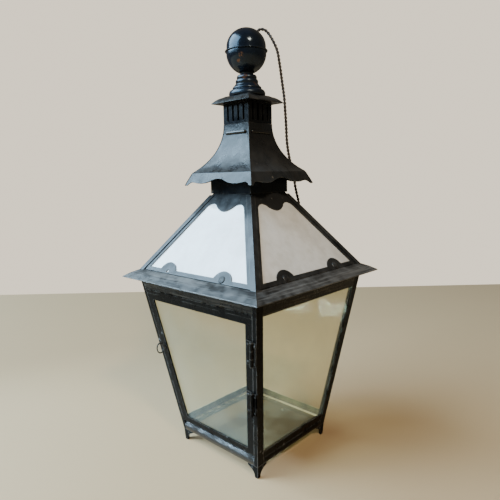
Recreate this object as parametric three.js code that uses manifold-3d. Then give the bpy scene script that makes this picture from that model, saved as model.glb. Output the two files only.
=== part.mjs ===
// Tapered square lantern: a glazed case with one hinged door, a flared cornice, a pyramid roof of
// opal panes, a bell-shaped hood with a vent box and cap, and a ball finial that a flex comes out of.
// Millimetres, +Z up. The origin is the middle of the square that the feet stand on. The door is on
// the -Y side, hinged along its +X edge.
import * as THREE from 'three';
import { mergeVertices } from 'three/addons/utils/BufferGeometryUtils.js';
import Module from 'manifold-3d';

// Clearances
const seat = 0.3; // between pieces that touch
const doorGap = 0.8; // round the sides of the door
const doorDrop = 1.2; // above the door, where the leaning hinge line lifts its inner edge
const doorLift = 0.8; // under the door

// Case: the outer faces lean out as they rise
const footHeight = 23.4;
const footSpread = 100.7; // half the distance between the feet's outer faces on the ground
const baseHalf = 102.3; // half the outer width at the bottom of the case
const caseTop = 344.7;
const bodyLean = 0.16024; // outward per millimetre of height
const metal = 3; // thickness of posts and rails
const postLeg = 16; // post leg on a fixed side
const doorLeg = 8; // post leg on the door side
const flange = 20; // inward reach of the rails' flanges

// Bottom and head rails, by height
const beadLine = 34.6;
const railNose = 1.4; // how far the rounded foot of a bottom rail stands proud
const headMould = 1.2; // how far the moulding over the door stands proud
const headMouldHeight = 9;
const fixedRailTop = 49;
const railSetback = 1.2;
const baseShelf = 36;
const sillTop = 45;
const sillBevel = 9.4;
const sillBack = 13.6;
const fixedHeadHeight = 28.7; // of the head rails over the fixed panes
const doorHeadHeight = 22.3;

// Feet
const footWing = 24;
const footTip = 7;
const footWall = 4;

// Glass
const glass = 3;
const glassHide = 8; // distance of a fixed pane's edge from the case's corner
const glassBottom = 40.5;
const glassHeadRoom = 6; // what the pane reaches up behind the head rail
const baseGlassRoom = 1.2; // between the base pane's edge and the door's sill

// Door
const stile = 15;
const doorDepth = 7;
const doorReturn = 2;
const doorBottomRail = 11.2;
const doorTopRail = 19.2;
const doorBead = 7.2;
const doorBeadProud = 0.8;
const doorGlassCover = 3.4; // what the frame covers of the door's pane

// Hinges
const hingeHeights = [252, 156];
const hingeLength = 45;
const knuckleLength = 15;
const knuckleRadius = 3;
const pinRadius = 1.5;
const pinHead = 2.4;
const pinHeadHeight = 1.4;
const leafThickness = 1.5;
const postLeafWidth = 7;
const doorLeafWidth = 13;

// Loop pull and cam
const latchHeight = 206;
const spindleRadius = 2.5;
const bossRadius = 5;
const bossHeight = 2.7;
const loopTall = 10.1;
const loopOut = 7.8;
const loopWire = 1.4;
const camReach = 11.5;
const camWidth = 5;
const camThickness = 1.6;
const camHub = 3.7;

// Cornice
const corniceSheet = 1.6;
const corniceRise = 15.3; // from the case's top to the cornice's
const corniceReach = 26.5; // of the lip beyond the roof's foot
const corniceDrop = 13.6; // of the lip below the cornice's top
const corniceFlange = 10.5;
const corniceTop = caseTop + corniceRise;

// Roof: its planes lean in as they rise
const roofLean = 0.7115; // inward per millimetre of height
const eaveSetback = 2.285; // of the roof's foot behind the case's top edge
const roofSheet = 1.6;
const roofPane = 3;
const roofStrip = 18;
const eaveRail = 9.2; // width of the frame's bottom rail, measured up the slope
const tabRadius = 23;
const tabOffset = 72;
const tabCentre = 1.2;
const keyholeRadius = 3;
const keyholeCentre = 6;
const scallopEnd = 31.3; // distances of the scalloped edge below the frame's head
const scallopArch = 23.7;
const lobeJoin = 32.5;
const lobeBottom = 39.9;
const lobeHalf = 19;
const hipProud = 2;
const hipLeg = 11;
const hipShort = 3.2; // between the hips' heads and the neck's foot

// Neck and bell-shaped hood
const hoodSheet = 1.5;
const neckHalf = 51.7;
const neckLift = 0.7; // of the neck above the roof frames it sits over
const neckLap = 1.3; // of the roof frames inside the neck
const hoodRise = 126.8; // from the neck's foot to the hood's top
const hoodTopHalf = 31.7;
const flareRadius = 110;
const flareDrop = 88.4; // from the hood's top to its crease
const valanceDrop = 22.3; // from the crease to the valance's corners
const valanceSpread = 10.26;
const notchRise = 11.7; // heights of the scalloped edge above the valance's corners
const lobeRise = 3.3;
const dipRise = 5.7;
const lobeAcross = 44; // distances of the scallops from the side's middle
const dipAcross = 72;
const lobeEase = 14; // lengths that the scallops' curves swing over
const notchEase = 18;
const dipEase = 10;
const cornerEase = 4;
const valanceEnd = 5.5; // what the scallops leave at each corner
const beadDrop = 16; // from the hood's top to the bars' middles
const beadRadius = 3.5;
const beadHalf = 26;

// Vent box and cap
const ventHeight = 37.1;
const slotWidth = 5;
const slotPitch = 13.35;
const slotFoot = 4.7; // metal left under the slots
const slotHead = 2.4; // and over them
const capReach = 15.7; // of the cap beyond the vent box
const capEdge = 1;
const capShoulder = 33; // half widths and drops of the cap's curve
const capShoulderDrop = 2.2;
const capTopHalf = 29;
const capHeight = 13.5;
const capBulge = 39.7;
const capBulgeDrop = 3.6;

// Finial
const finialTurning = [ // a bowl, three rings and a neck, as [radius, height]
  [33, 0], [34, 2.6], [33.5, 6], [31.4, 9.2], [26.6, 11.9], [27, 13.2], [26.4, 15.2],
  [23.4, 18], [22, 20.4], [20.1, 21.2], [21, 23.8], [21, 26], [20, 28.4], [17.7, 29.9],
  [18.7, 32], [18.4, 34.2], [16.8, 36.6], [13, 37.8], [12.4, 39.1],
];
const ballSheet = 1.5;
const ballSteps = 9; // facets from the ball's middle to its pole
const ballRadius = 37;
const ballDepth = 37.4;
const lowerBallHeight = 38.1;
const bandRadius = 39.5;
const bandInner = 34.3;
const bandHeight = 2.4;
const upperBallRadius = 36.3;
const upperBallRim = 6;
const upperBallRise = 33.3;
const grommetAngle = THREE.MathUtils.degToRad(80.2); // round the finial from +X
const grommetRing = 22.5; // distance of the grommet's axis from the finial's, on the shell
const grommetRadius = 5;
const grommetFlange = 6.6;
const grommetOut = 4.2;
const grommetIn = 3.4;

// Stem, bridge and lampholder
const stemRadius = 5;
const stemBore = 3.2;
const nutRadius = 9;
const nutHeight = 6;
const stemOverNut = 4;
const bridgeRise = 7.8; // from the neck's foot to the bridge
const bridgeThickness = 3;
const bridgeWidth = 16;
const bridgeEar = 12;
const holderDrop = 10; // from the bridge to the lampholder
const holderRadius = 19.5;
const holderHeight = 54;
const holderWall = 5.5;
const holderNeck = 9;
const holderShoulder = 15;
const holderNeckHeight = 6;
const holderShoulderHeight = 4;
const holderDome = 16; // from the lampholder's top to its full width
const holderFloor = 3;
const stemInHolder = 14;
const holderRingRadius = 24;
const holderRingDrop = 45;
const holderRingHeight = 8;
const holderRibs = 24;
const innerFlexRadius = 2.4;

// Flex
const flexRadius = 3;

const wasm = await Module();
wasm.setup();

const vec = (x, y, z) => new THREE.Vector3(x, y, z);
const point = ([x, y]) => new THREE.Vector2(x, y);
const bodyHalf = (z) => baseHalf + bodyLean * (z - footHeight);
const footHalf = (z) => footSpread + ((baseHalf - footSpread) * z) / footHeight;
const eaveHalf = bodyHalf(caseTop) - eaveSetback; // half the width of the roof's foot
const roofHalf = (z) => eaveHalf - roofLean * (z - corniceTop);
const bodyTilt = Math.atan(bodyLean);
const roofTilt = Math.atan(roofLean);
const sideNames = ['right', 'back', 'left', 'door'];
const cornerNames = ['right', 'back', 'left', 'front'];
const doorSide = 3;

// Levels and widths that follow from the ones above
const fixedHeadBottom = caseTop - fixedHeadHeight;
const doorHeadBottom = caseTop - doorHeadHeight;
const corniceLip = corniceTop - corniceDrop;
const corniceLipHalf = eaveHalf + corniceReach;
const neckBottom = corniceTop + (eaveHalf - neckHalf + roofSheet) / roofLean + neckLift;
const roofTop = neckBottom + neckLap;
const hipTop = neckBottom - hipShort;
const hoodTop = neckBottom + hoodRise;
const crease = hoodTop - flareDrop;
const flareCentre = hoodTopHalf + flareRadius;
const valanceHalf = flareCentre - Math.sqrt(flareRadius ** 2 - flareDrop ** 2) + valanceSpread;
const valanceBottom = crease - valanceDrop;
const ventHalf = hoodTopHalf + seat;
const ventBottom = hoodTop + seat;
const ventTop = ventBottom + ventHeight;
const capHalf = ventHalf + capReach;
const bridgeBottom = neckBottom + bridgeRise;
const holderTop = bridgeBottom - holderDrop;

// Solids and cuts

function welded(geometry) {
  const bare = new THREE.BufferGeometry();
  bare.setAttribute('position', geometry.getAttribute('position'));
  bare.setIndex(geometry.getIndex());
  const merged = mergeVertices(bare, 1e-4);
  const source = merged.getIndex().array;
  const kept = [];
  for (let i = 0; i < source.length; i += 3) {
    const [a, b, c] = source.slice(i, i + 3);
    if (a !== b && b !== c && c !== a) kept.push(a, b, c);
  }
  merged.setIndex(kept);
  return merged;
}

function toSolid(geometry) {
  const closed = welded(geometry);
  return new wasm.Manifold(new wasm.Mesh({
    numProp: 3,
    vertProperties: Float32Array.from(closed.getAttribute('position').array),
    triVerts: Uint32Array.from(closed.getIndex().array),
  }));
}

function toGeometry(solid) {
  const mesh = solid.getMesh();
  const geometry = new THREE.BufferGeometry();
  geometry.setAttribute('position', new THREE.BufferAttribute(mesh.vertProperties, 3));
  geometry.setIndex(new THREE.BufferAttribute(mesh.triVerts, 1));
  return geometry;
}

function cut(geometry, ...cutters) {
  return toGeometry(cutters.reduce((solid, cutter) => solid.subtract(toSolid(cutter)), toSolid(geometry)));
}

function join(geometry, ...others) {
  return toGeometry(others.reduce((solid, other) => solid.add(toSolid(other)), toSolid(geometry)));
}

function extrude(shape, depth, curveSegments = 12) {
  return new THREE.ExtrudeGeometry(shape, { depth, curveSegments, bevelEnabled: false });
}

// A box between two corners
function block(x0, y0, z0, x1, y1, z1) {
  const box = new THREE.BoxGeometry(x1 - x0, y1 - y0, z1 - z0);
  return box.translate((x0 + x1) / 2, (y0 + y1) / 2, (z0 + z1) / 2);
}

// A round bar along Z
function rod(radius, z0, z1, sides = 24) {
  const bar = new THREE.CylinderGeometry(radius, radius, z1 - z0, sides);
  return bar.rotateX(Math.PI / 2).translate(0, 0, (z0 + z1) / 2);
}

// A solid of revolution about Z from [radius, height] points
function revolve(outline, sides = 32, start = 0) {
  const points = outline.map(point);
  const onAxis = points[0].x === 0;
  if (!onAxis) points.push(points[0].clone());
  if (THREE.ShapeUtils.area(points) < 0) points.reverse();
  return new THREE.LatheGeometry(points, sides, start).rotateX(Math.PI / 2);
}

// The same profile carried round a square, with mitred corners, from [half width, height] points
function carrySquare(outline) {
  return revolve(outline.map(([half, z]) => [half * Math.SQRT2, z]), 4, Math.PI / 4);
}

// The closed section of bent sheet: an open line and the same line moved to its left by the sheet
function sheetSection(line, thickness) {
  const normals = line.slice(1).map(([x, y], i) => {
    const run = new THREE.Vector2(x - line[i][0], y - line[i][1]).normalize();
    return new THREE.Vector2(-run.y, run.x);
  });
  const moved = line.map(([x, y], i) => {
    const before = normals[Math.max(i - 1, 0)];
    const after = normals[Math.min(i, normals.length - 1)];
    const bisector = before.clone().add(after).normalize();
    const reach = thickness / bisector.dot(after);
    return [x + bisector.x * reach, y + bisector.y * reach];
  });
  return [...line, ...moved.reverse()];
}

// Points of an ellipse's quarter or part of it, from one angle to another
function ellipseArc(radiusX, radiusY, centreY, from, to, steps) {
  return Array.from({ length: steps + 1 }, (_, i) => {
    const angle = from + ((to - from) * i) / steps;
    return [Math.cos(angle) * radiusX, centreY + Math.sin(angle) * radiusY];
  });
}

// Leaning pieces

function reshape(geometry, move) {
  const place = geometry.getAttribute('position');
  for (let i = 0; i < place.count; i += 1) {
    place.setXYZ(i, ...move(place.getX(i), place.getY(i), place.getZ(i)));
  }
  return geometry;
}

// A section drawn from a corner, [distance from one face, distance from the next], run up the corner
function cornerBar(section, z0, z1, halfAt) {
  const bar = extrude(new THREE.Shape(section.map(point)), z1 - z0).translate(0, 0, z0);
  return reshape(bar, (a, b, z) => [halfAt(z) - a, halfAt(z) - b, z]);
}

// A section drawn as [depth behind the face, height], run across a leaning face on the +X side.
// The end rule gives its distance from the case's corner at each depth.
function faceBar(section, endInset) {
  const bar = extrude(new THREE.Shape(section.map(point)), 1);
  return reshape(bar, (depth, z, run) => {
    const half = bodyHalf(z);
    return [half - depth, Math.sign(run - 0.5) * (half - endInset(depth)), z];
  });
}

function facePlate(depth0, depth1, z0, z1, inset) {
  return faceBar([[depth0, z0], [depth1, z0], [depth1, z1], [depth0, z1]], () => inset);
}

// Rails butt against the post's leg, and their flanges are mitred to each other
function railEnd(leg) {
  const butt = leg + seat;
  const mitre = (flange + seat - butt) / (flange - metal);
  return (depth) => butt + Math.max(depth - metal, 0) * mitre;
}

// Case

function corner(ownLeg, nextLeg) {
  return [[0, 0], [nextLeg, 0], [nextLeg, metal], [metal, metal], [metal, ownLeg], [0, ownLeg]];
}

function post(ownLeg, nextLeg) {
  return cornerBar(corner(ownLeg, nextLeg), footHeight, caseTop, bodyHalf);
}

// Two wings with a hollow curve down to a small toe
function foot() {
  const height = footHeight - seat;
  const outline = new THREE.Shape();
  outline.moveTo(0, 0);
  outline.lineTo(footTip, 0);
  outline.bezierCurveTo(footTip, height * 0.5, footWing * 0.62, height * 0.72, footWing, height * 0.86);
  outline.lineTo(footWing, height);
  outline.lineTo(0, height);
  const wing = extrude(outline, footWall, 8).rotateX(Math.PI / 2).translate(0, footWall, 0);
  const other = extrude(outline, footWall, 8).rotateX(Math.PI / 2).rotateZ(Math.PI / 2);
  return reshape(join(wing, other), (a, b, z) => [footHalf(z) - a, footHalf(z) - b, z]);
}

// The rounded front of a bottom rail, from its top to its foot
function nose() {
  const low = footHeight + seat;
  const side = new THREE.Path();
  side.moveTo(0, beadLine);
  side.quadraticCurveTo(-railNose * 1.6, (low + beadLine) / 2, 0, low);
  return side.getPoints(5).map(({ x, y }) => [x, y]);
}

function fixedBottomRail() {
  const section = [
    [0, footHeight], [metal, footHeight], [metal, baseShelf - metal], [flange, baseShelf - metal],
    [flange, baseShelf], [metal, baseShelf], [metal, fixedRailTop], [railSetback, fixedRailTop],
    [railSetback, beadLine + railSetback], ...nose(),
  ];
  return faceBar(section, railEnd(postLeg));
}

function doorSill() {
  const section = [
    [0, footHeight], [metal, footHeight], [metal, baseShelf - metal], [flange, baseShelf - metal],
    [flange, baseShelf], [sillBack, baseShelf], [sillBack, sillTop], [sillBevel, sillTop],
    [sillBevel * 0.35, (sillTop + beadLine) / 2 + 1], ...nose(),
  ];
  return faceBar(section, railEnd(doorLeg));
}

function headRail(bottom, leg, mould) {
  const mouldFoot = caseTop - headMouldHeight;
  const section = [
    [0, bottom], [metal, bottom], [metal, caseTop - metal], [flange, caseTop - metal],
    [flange, caseTop],
    ...(mould ? [[-mould, caseTop], [-mould, mouldFoot + mould], [0, mouldFoot]] : [[0, caseTop]]),
  ];
  return faceBar(section, railEnd(leg));
}

function sideGlass() {
  const front = metal + seat;
  return facePlate(front, front + glass, glassBottom, fixedHeadBottom + glassHeadRoom, glassHide);
}

function baseGlass() {
  const under = baseShelf + seat;
  const half = bodyHalf(baseShelf) - sillBack - baseGlassRoom;
  return block(-half, -half, under, half, half, under + glass);
}

// Door: a sheet tray with a window, seen from its front, with a return round its back
const doorInset = doorLeg + doorGap;
const doorBottom = sillTop + doorLift;
const doorTop = doorHeadBottom - doorDrop;
const latchInset = doorInset + stile / 2;

function doorFrame() {
  const tray = facePlate(0, doorDepth, doorBottom, doorTop, doorInset);
  const bead = facePlate(-doorBeadProud, metal / 2, doorTop - doorBead, doorTop, doorInset);
  const pocket = facePlate(
    metal, doorDepth + 1, doorBottom + doorReturn, doorTop - doorReturn, doorInset + doorReturn,
  );
  const window = facePlate(
    -1, metal + 1, doorBottom + doorBottomRail, doorTop - doorTopRail, doorInset + stile,
  );
  const spindleHole = rod(spindleRadius + seat, -2 * metal, metal).rotateY(Math.PI / 2);
  const camWay = block(
    -metal - camThickness - 3 * seat, -camReach - seat, -camHub,
    -metal - seat / 3, 0, camReach + camWidth / 2,
  );
  return cut(join(tray, bead), pocket, window, onFace(spindleHole), onFace(camWay));
}

// Moves a piece drawn about the spindle, with X straight out of the door, to its place on the face
function onFace(geometry) {
  const half = bodyHalf(latchHeight);
  return geometry.rotateY(bodyTilt).translate(half, latchInset - half, latchHeight);
}

function doorGlass() {
  const front = metal + seat;
  const cover = doorGlassCover;
  return facePlate(
    front, front + glass, doorBottom + doorBottomRail - cover, doorTop - doorTopRail + cover,
    doorInset + stile - cover,
  );
}

// Hinges: drawn about the pin, with X straight out of the face and Z along the seam
function knuckle(z0, z1) {
  const inner = pinRadius + seat;
  return revolve([[inner, z0], [knuckleRadius, z0], [knuckleRadius, z1], [inner, z1]], 16);
}

// A leaf's plate with its knuckles; side is 1 on the post and -1 on the door
function leaf(side, width, bands) {
  const back = -knuckleRadius;
  const front = back + leafThickness;
  const clear = knuckleRadius + 0.4;
  const plate = (from, z0, z1) => block(
    back, Math.min(side * from, side * width), z0, front, Math.max(side * from, side * width), z1,
  );
  const bore = rod(pinRadius + seat, -hingeLength, hingeLength, 16);
  const pieces = bands.flatMap(([z0, z1]) => [plate(0, z0, z1), knuckle(z0, z1)]);
  return cut(join(plate(clear, -hingeLength / 2, hingeLength / 2), ...pieces), bore);
}

function postLeaf() {
  const inner = knuckleLength / 2 + seat / 2;
  const end = hingeLength / 2;
  return leaf(1, postLeafWidth, [[-end, -inner], [inner, end]]);
}

function doorLeaf() {
  const inner = knuckleLength / 2 - seat / 2;
  return leaf(-1, doorLeafWidth, [[-inner, inner]]);
}

function hingePin() {
  const end = hingeLength / 2 + seat;
  const tip = end + pinHeadHeight;
  return revolve([
    [0, -tip], [pinHead * 0.6, -tip], [pinHead, -tip + 0.5], [pinHead, -end], [pinRadius, -end],
    [pinRadius, end], [pinHead, end], [pinHead, tip - 0.5], [pinHead * 0.6, tip], [0, tip],
  ], 16);
}

// Loop pull: boss, spindle and the riveted end behind the cam, with a wire loop standing upright
const camFront = -metal - 2 * seat;
const camBack = camFront - camThickness;

function latchHandle() {
  const riveted = camBack - seat;
  const spindle = revolve([
    [0, riveted - 1.2], [spindleRadius, riveted - 1.2], [camHub - 0.4, riveted - 0.6],
    [camHub - 0.4, riveted], [spindleRadius, riveted], [spindleRadius, seat], [bossRadius, seat],
    [bossRadius, bossHeight - 0.8], [bossRadius - 1, bossHeight], [0, bossHeight],
  ], 20).rotateY(Math.PI / 2);
  const loop = new THREE.TorusGeometry(1, loopWire / loopTall, 8, 28);
  loop.scale(loopOut, loopTall, loopTall).rotateX(Math.PI / 2);
  loop.translate(bossHeight + loopOut, 0, 0);
  return join(spindle, loop);
}

function latchCam() {
  const outline = new THREE.Shape();
  outline.moveTo(camWidth / 2, 0);
  outline.lineTo(camWidth / 2, camReach - camWidth / 2);
  outline.absarc(0, camReach - camWidth / 2, camWidth / 2, 0, Math.PI, false);
  outline.lineTo(-camWidth / 2, 0);
  const arm = extrude(outline, camThickness, 6);
  const hub = rod(camHub, 0, camThickness, 20);
  const bore = rod(spindleRadius + seat, -1, camThickness + 1, 20);
  return cut(join(arm, hub), bore).applyMatrix4(uprightBasis()).translate(camBack, 0, 0);
}

// Turns a flat outline so that it stands up: its X runs along Y, its Y up Z, and its depth out of X
function uprightBasis() {
  return new THREE.Matrix4().makeBasis(vec(0, 1, 0), vec(0, 0, 1), vec(1, 0, 0));
}

// Cornice: one folded sheet with a flange over the case, a web, a flange under the roof and the flare
function cornice() {
  const inner = eaveHalf - corniceFlange;
  const bottom = caseTop + seat;
  const web = eaveHalf - corniceSheet;
  const flareDrop = corniceSheet * 1.15;
  return carrySquare([
    [inner, bottom], [eaveHalf, bottom], [eaveHalf, corniceTop - flareDrop - 0.3],
    [corniceLipHalf - 1.1, corniceLip - corniceSheet], [corniceLipHalf, corniceLip - 1.2],
    [corniceLipHalf, corniceLip],
    [(eaveHalf + corniceLipHalf) / 2 + 1, (corniceTop + corniceLip) / 2 + 0.3],
    [eaveHalf, corniceTop], [inner, corniceTop], [inner, corniceTop - corniceSheet],
    [web, corniceTop - corniceSheet], [web, bottom + corniceSheet], [inner, bottom + corniceSheet],
  ]);
}

// Roof pieces are drawn flat: X across the side, Y up the slope from the cornice's top, and the
// sheet's outer face at depth 0
const slopeHalf = (rise) => eaveHalf - rise * Math.sin(roofTilt);
const slopeRise = (z) => (z - corniceTop) / Math.cos(roofTilt);
// The lowest rise at which a layer that reaches this deep stays clear of the cornice
const layerFoot = (depth) => (seat + depth * Math.sin(roofTilt)) / Math.cos(roofTilt);

function roofOutline(depth, inset) {
  const low = layerFoot(depth);
  const high = slopeRise(roofTop);
  return new THREE.Shape([
    point([inset - slopeHalf(low), low]), point([slopeHalf(low) - inset, low]),
    point([slopeHalf(high) - inset, high]), point([inset - slopeHalf(high), high]),
  ]);
}

// The window: round tabs stand into it from the bottom rail, and its head is scalloped
function roofWindow() {
  const head = slopeRise(roofTop);
  const end = head - scallopEnd;
  const join = head - lobeJoin;
  const archControl = 2 * (head - scallopArch) - (end + join) / 2;
  const lobeControl = 2 * (head - lobeBottom) - join;
  const low = slopeHalf(eaveRail) - roofStrip;
  const high = slopeHalf(end) - roofStrip;
  const arch = (high + lobeHalf) / 2;
  const lift = Math.asin((eaveRail - tabCentre) / tabRadius);
  const hole = new THREE.Path();
  hole.moveTo(-low, eaveRail);
  hole.lineTo(-tabOffset - tabRadius * Math.cos(lift), eaveRail);
  hole.absarc(-tabOffset, tabCentre, tabRadius, Math.PI - lift, lift, true);
  hole.absarc(tabOffset, tabCentre, tabRadius, Math.PI - lift, lift, true);
  hole.lineTo(low, eaveRail);
  hole.lineTo(high, end);
  hole.quadraticCurveTo(arch, archControl, lobeHalf, join);
  hole.quadraticCurveTo(0, lobeControl, -lobeHalf, join);
  hole.quadraticCurveTo(-arch, archControl, -high, end);
  hole.closePath();
  return hole;
}

function roofLayer(shape, depth, thickness) {
  return extrude(shape, thickness, 8).applyMatrix4(uprightBasis()).translate(-depth - thickness, 0, 0);
}

function roofFrame(side) {
  const shape = roofOutline(roofSheet, roofSheet / Math.cos(roofTilt) + 1.5 * seat);
  shape.holes.push(roofWindow());
  if (side === doorSide) {
    const keyhole = new THREE.Path();
    keyhole.absarc(-tabOffset, keyholeCentre, keyholeRadius, 0, 2 * Math.PI, false);
    shape.holes.push(keyhole);
  }
  return roofLayer(shape, 0, roofSheet);
}

function roofGlass() {
  const depth = roofSheet + seat;
  const reach = depth + roofPane;
  return roofLayer(roofOutline(reach, reach / Math.cos(roofTilt) + 2 * seat), depth, roofPane);
}

function hipBar() {
  const near = -seat - 0.05;
  const far = hipLeg - hipProud;
  const section = [[-hipProud, -hipProud], [far, -hipProud], [far, near], [near, near],
    [near, far], [-hipProud, far]];
  return cornerBar(section, corniceTop + seat, hipTop, roofHalf);
}

// Hood: the flare is an arc that ends upright under the vent box; below its crease hangs a valance
function flareHeight(half, radius) {
  return hoodTop - Math.sqrt(radius ** 2 - (flareCentre - half) ** 2);
}

function flareLine() {
  const steps = 12;
  const low = Math.asin((hoodTop - crease) / flareRadius);
  return Array.from({ length: steps + 1 }, (_, i) => {
    const angle = (low * (steps - i)) / steps;
    return [flareCentre - Math.cos(angle) * flareRadius, hoodTop - Math.sin(angle) * flareRadius];
  });
}

// What is cut away below the valance's scalloped edge on one side
function valanceCutter() {
  const end = valanceHalf - valanceEnd;
  const below = valanceBottom - 2;
  const notch = valanceBottom + notchRise;
  const lobe = valanceBottom + lobeRise;
  const dip = valanceBottom + dipRise;
  const knots = [
    [[-dipAcross + dipEase, dip], [-lobeAcross - lobeEase, lobe], [-lobeAcross, lobe]],
    [[-lobeAcross + notchEase, lobe], [-notchEase, notch], [0, notch]],
    [[notchEase, notch], [lobeAcross - notchEase, lobe], [lobeAcross, lobe]],
    [[lobeAcross + lobeEase, lobe], [dipAcross - dipEase, dip], [dipAcross, dip]],
  ];
  const edge = new THREE.Shape();
  edge.moveTo(-end, below);
  edge.lineTo(-end, valanceBottom + 1);
  edge.quadraticCurveTo(-end + cornerEase, dip, -dipAcross, dip);
  knots.forEach((curve) => edge.bezierCurveTo(...curve.flat()));
  edge.quadraticCurveTo(end - cornerEase, dip, end, valanceBottom + 1);
  edge.lineTo(end, below);
  const depth = 20;
  return extrude(edge, depth, 8).applyMatrix4(uprightBasis()).translate(valanceHalf - depth + 2, 0, 0);
}

function hoodBead() {
  const length = 2 * (beadHalf - beadRadius);
  const bead = new THREE.CapsuleGeometry(beadRadius, length, 3, 10);
  const face = flareCentre - Math.sqrt(flareRadius ** 2 - beadDrop ** 2);
  const inside = block(0, -2 * beadHalf, 0, face - hoodSheet / 2, 2 * beadHalf, 2 * hoodTop);
  return cut(bead.translate(face, 0, hoodTop - beadDrop), inside);
}

function onFourSides(make) {
  return [0, 1, 2, 3].map((side) => make().rotateZ((side * Math.PI) / 2));
}

function bellHood() {
  const line = [[valanceHalf, valanceBottom], ...flareLine()];
  const bell = carrySquare(sheetSection(line, hoodSheet));
  return join(cut(bell, ...onFourSides(valanceCutter)), ...onFourSides(hoodBead));
}

function neck() {
  const top = flareHeight(neckHalf, flareRadius + hoodSheet) - 1.5 * seat;
  return carrySquare(sheetSection([[neckHalf, neckBottom], [neckHalf, top]], roofSheet));
}

// Each slot cutter runs right through the box and so opens two sides
function ventBox() {
  const box = carrySquare(sheetSection([[ventHalf, ventBottom], [ventHalf, ventTop]], hoodSheet));
  const cutters = [-1.5, -0.5, 0.5, 1.5].flatMap((step) => {
    const y = step * slotPitch;
    const slot = () => block(
      -ventHalf - 1, y - slotWidth / 2, ventBottom + slotFoot,
      ventHalf + 1, y + slotWidth / 2, ventTop - slotHead,
    );
    return [slot(), slot().rotateZ(Math.PI / 2)];
  });
  return cut(box, ...cutters);
}

const stemHole = stemRadius + seat;
const capBottom = ventTop + seat;
const capTop = capBottom + capHeight;

function ventCap() {
  const side = new THREE.Path();
  side.moveTo(capHalf, capBottom + capEdge);
  side.quadraticCurveTo(capBulge, capTop - capBulgeDrop, capShoulder, capTop - capShoulderDrop);
  side.lineTo(capTopHalf, capTop);
  const curve = side.getPoints(6).map(({ x, y }) => [x, y]);
  const cap = carrySquare([[0, capBottom], [capHalf, capBottom], ...curve, [0, capTop]]);
  return cut(cap, rod(stemHole, capBottom - 1, capTop + 1));
}

const finialBottom = capTop + seat;
const [finialNeck, finialHeight] = finialTurning.at(-1);
const finialTop = finialBottom + finialHeight;

function finialBase() {
  const side = finialTurning.map(([radius, height]) => [radius, finialBottom + height]);
  return revolve([[stemHole, finialBottom], ...side, [stemHole, finialTop]], 28);
}

// Ball: two spun shells and the band that their rims meet in
const ballBottom = finialTop + seat;
const bandBottom = ballBottom + lowerBallHeight + seat;
const upperRim = bandBottom + bandHeight + seat;
const upperCentre = upperRim + upperBallRim;

function lowerBall() {
  const centre = ballBottom + lowerBallHeight - 1.5;
  const from = -Math.acos(finialNeck / ballRadius);
  const curve = ellipseArc(ballRadius, ballDepth, centre, from, 0, ballSteps);
  const line = [[stemHole, ballBottom], [finialNeck - 0.4, ballBottom], ...curve,
    [ballRadius, ballBottom + lowerBallHeight]];
  return revolve(sheetSection(line, ballSheet));
}

function ballBand() {
  const top = bandBottom + bandHeight;
  return revolve([[bandInner, bandBottom], [bandRadius - 0.6, bandBottom], [bandRadius, bandBottom + 0.6],
    [bandRadius, top - 0.6], [bandRadius - 0.6, top], [bandInner, top]]);
}

function upperBall() {
  const quarter = Math.PI / 2;
  const outside = ellipseArc(upperBallRadius, upperBallRise, upperCentre, 0, quarter, ballSteps);
  const inside = ellipseArc(
    upperBallRadius - ballSheet, upperBallRise - ballSheet, upperCentre, quarter, 0, ballSteps,
  );
  outside[ballSteps][0] = 0;
  inside[0][0] = 0;
  const outline = [...inside, [upperBallRadius - ballSheet, upperRim], [upperBallRadius, upperRim],
    ...outside];
  return cut(revolve(outline), placeGrommet(rod(grommetRadius + seat, -10, 10)));
}

// Grommet: square to the shell where it sits
const grommetRise = upperBallRise * Math.sqrt(1 - (grommetRing / upperBallRadius) ** 2);
const grommetTilt = Math.atan2(grommetRing / upperBallRadius ** 2, grommetRise / upperBallRise ** 2);

function placeGrommet(geometry) {
  geometry.rotateY(grommetTilt).translate(grommetRing, 0, upperCentre + grommetRise);
  return geometry.rotateZ(grommetAngle);
}

function grommet() {
  const under = 1;
  return placeGrommet(revolve([
    [0, -grommetIn], [grommetRadius, -grommetIn], [grommetRadius, under], [grommetFlange, under],
    [grommetFlange, under + 1.2], [grommetRadius - 0.6, grommetOut], [0, grommetOut],
  ], 24));
}

// Stem, bridge, nuts and lampholder
const upperNutBottom = ballBottom + ballSheet + seat;
const stemTop = upperNutBottom + nutHeight + stemOverNut;
const stemBottom = holderTop - stemInHolder;

function stem() {
  return revolve([[stemBore, stemBottom], [stemRadius, stemBottom], [stemRadius, stemTop],
    [stemBore, stemTop]], 20);
}

function nut(bottom) {
  const hexagon = new THREE.Shape(Array.from({ length: 6 }, (_, i) => {
    const angle = (i * Math.PI) / 3;
    return new THREE.Vector2(Math.cos(angle) * nutRadius, Math.sin(angle) * nutRadius);
  }));
  const bore = new THREE.Path();
  bore.absarc(0, 0, stemHole, 0, 2 * Math.PI, true);
  hexagon.holes.push(bore);
  return extrude(hexagon, nutHeight, 10).translate(0, 0, bottom);
}

function bridgeBar() {
  const reach = neckHalf - roofSheet - seat;
  const top = bridgeBottom + bridgeThickness;
  const bar = block(-reach, -bridgeWidth / 2, bridgeBottom, reach, bridgeWidth / 2, top);
  const ears = [-1, 1].map((side) => {
    const inner = side * (reach - bridgeThickness);
    const outer = side * reach;
    return block(Math.min(inner, outer), -bridgeWidth / 2, top - 0.5, Math.max(inner, outer),
      bridgeWidth / 2, top + bridgeEar);
  });
  return cut(join(bar, ...ears), rod(stemHole, bridgeBottom - 1, top + 1));
}

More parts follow.
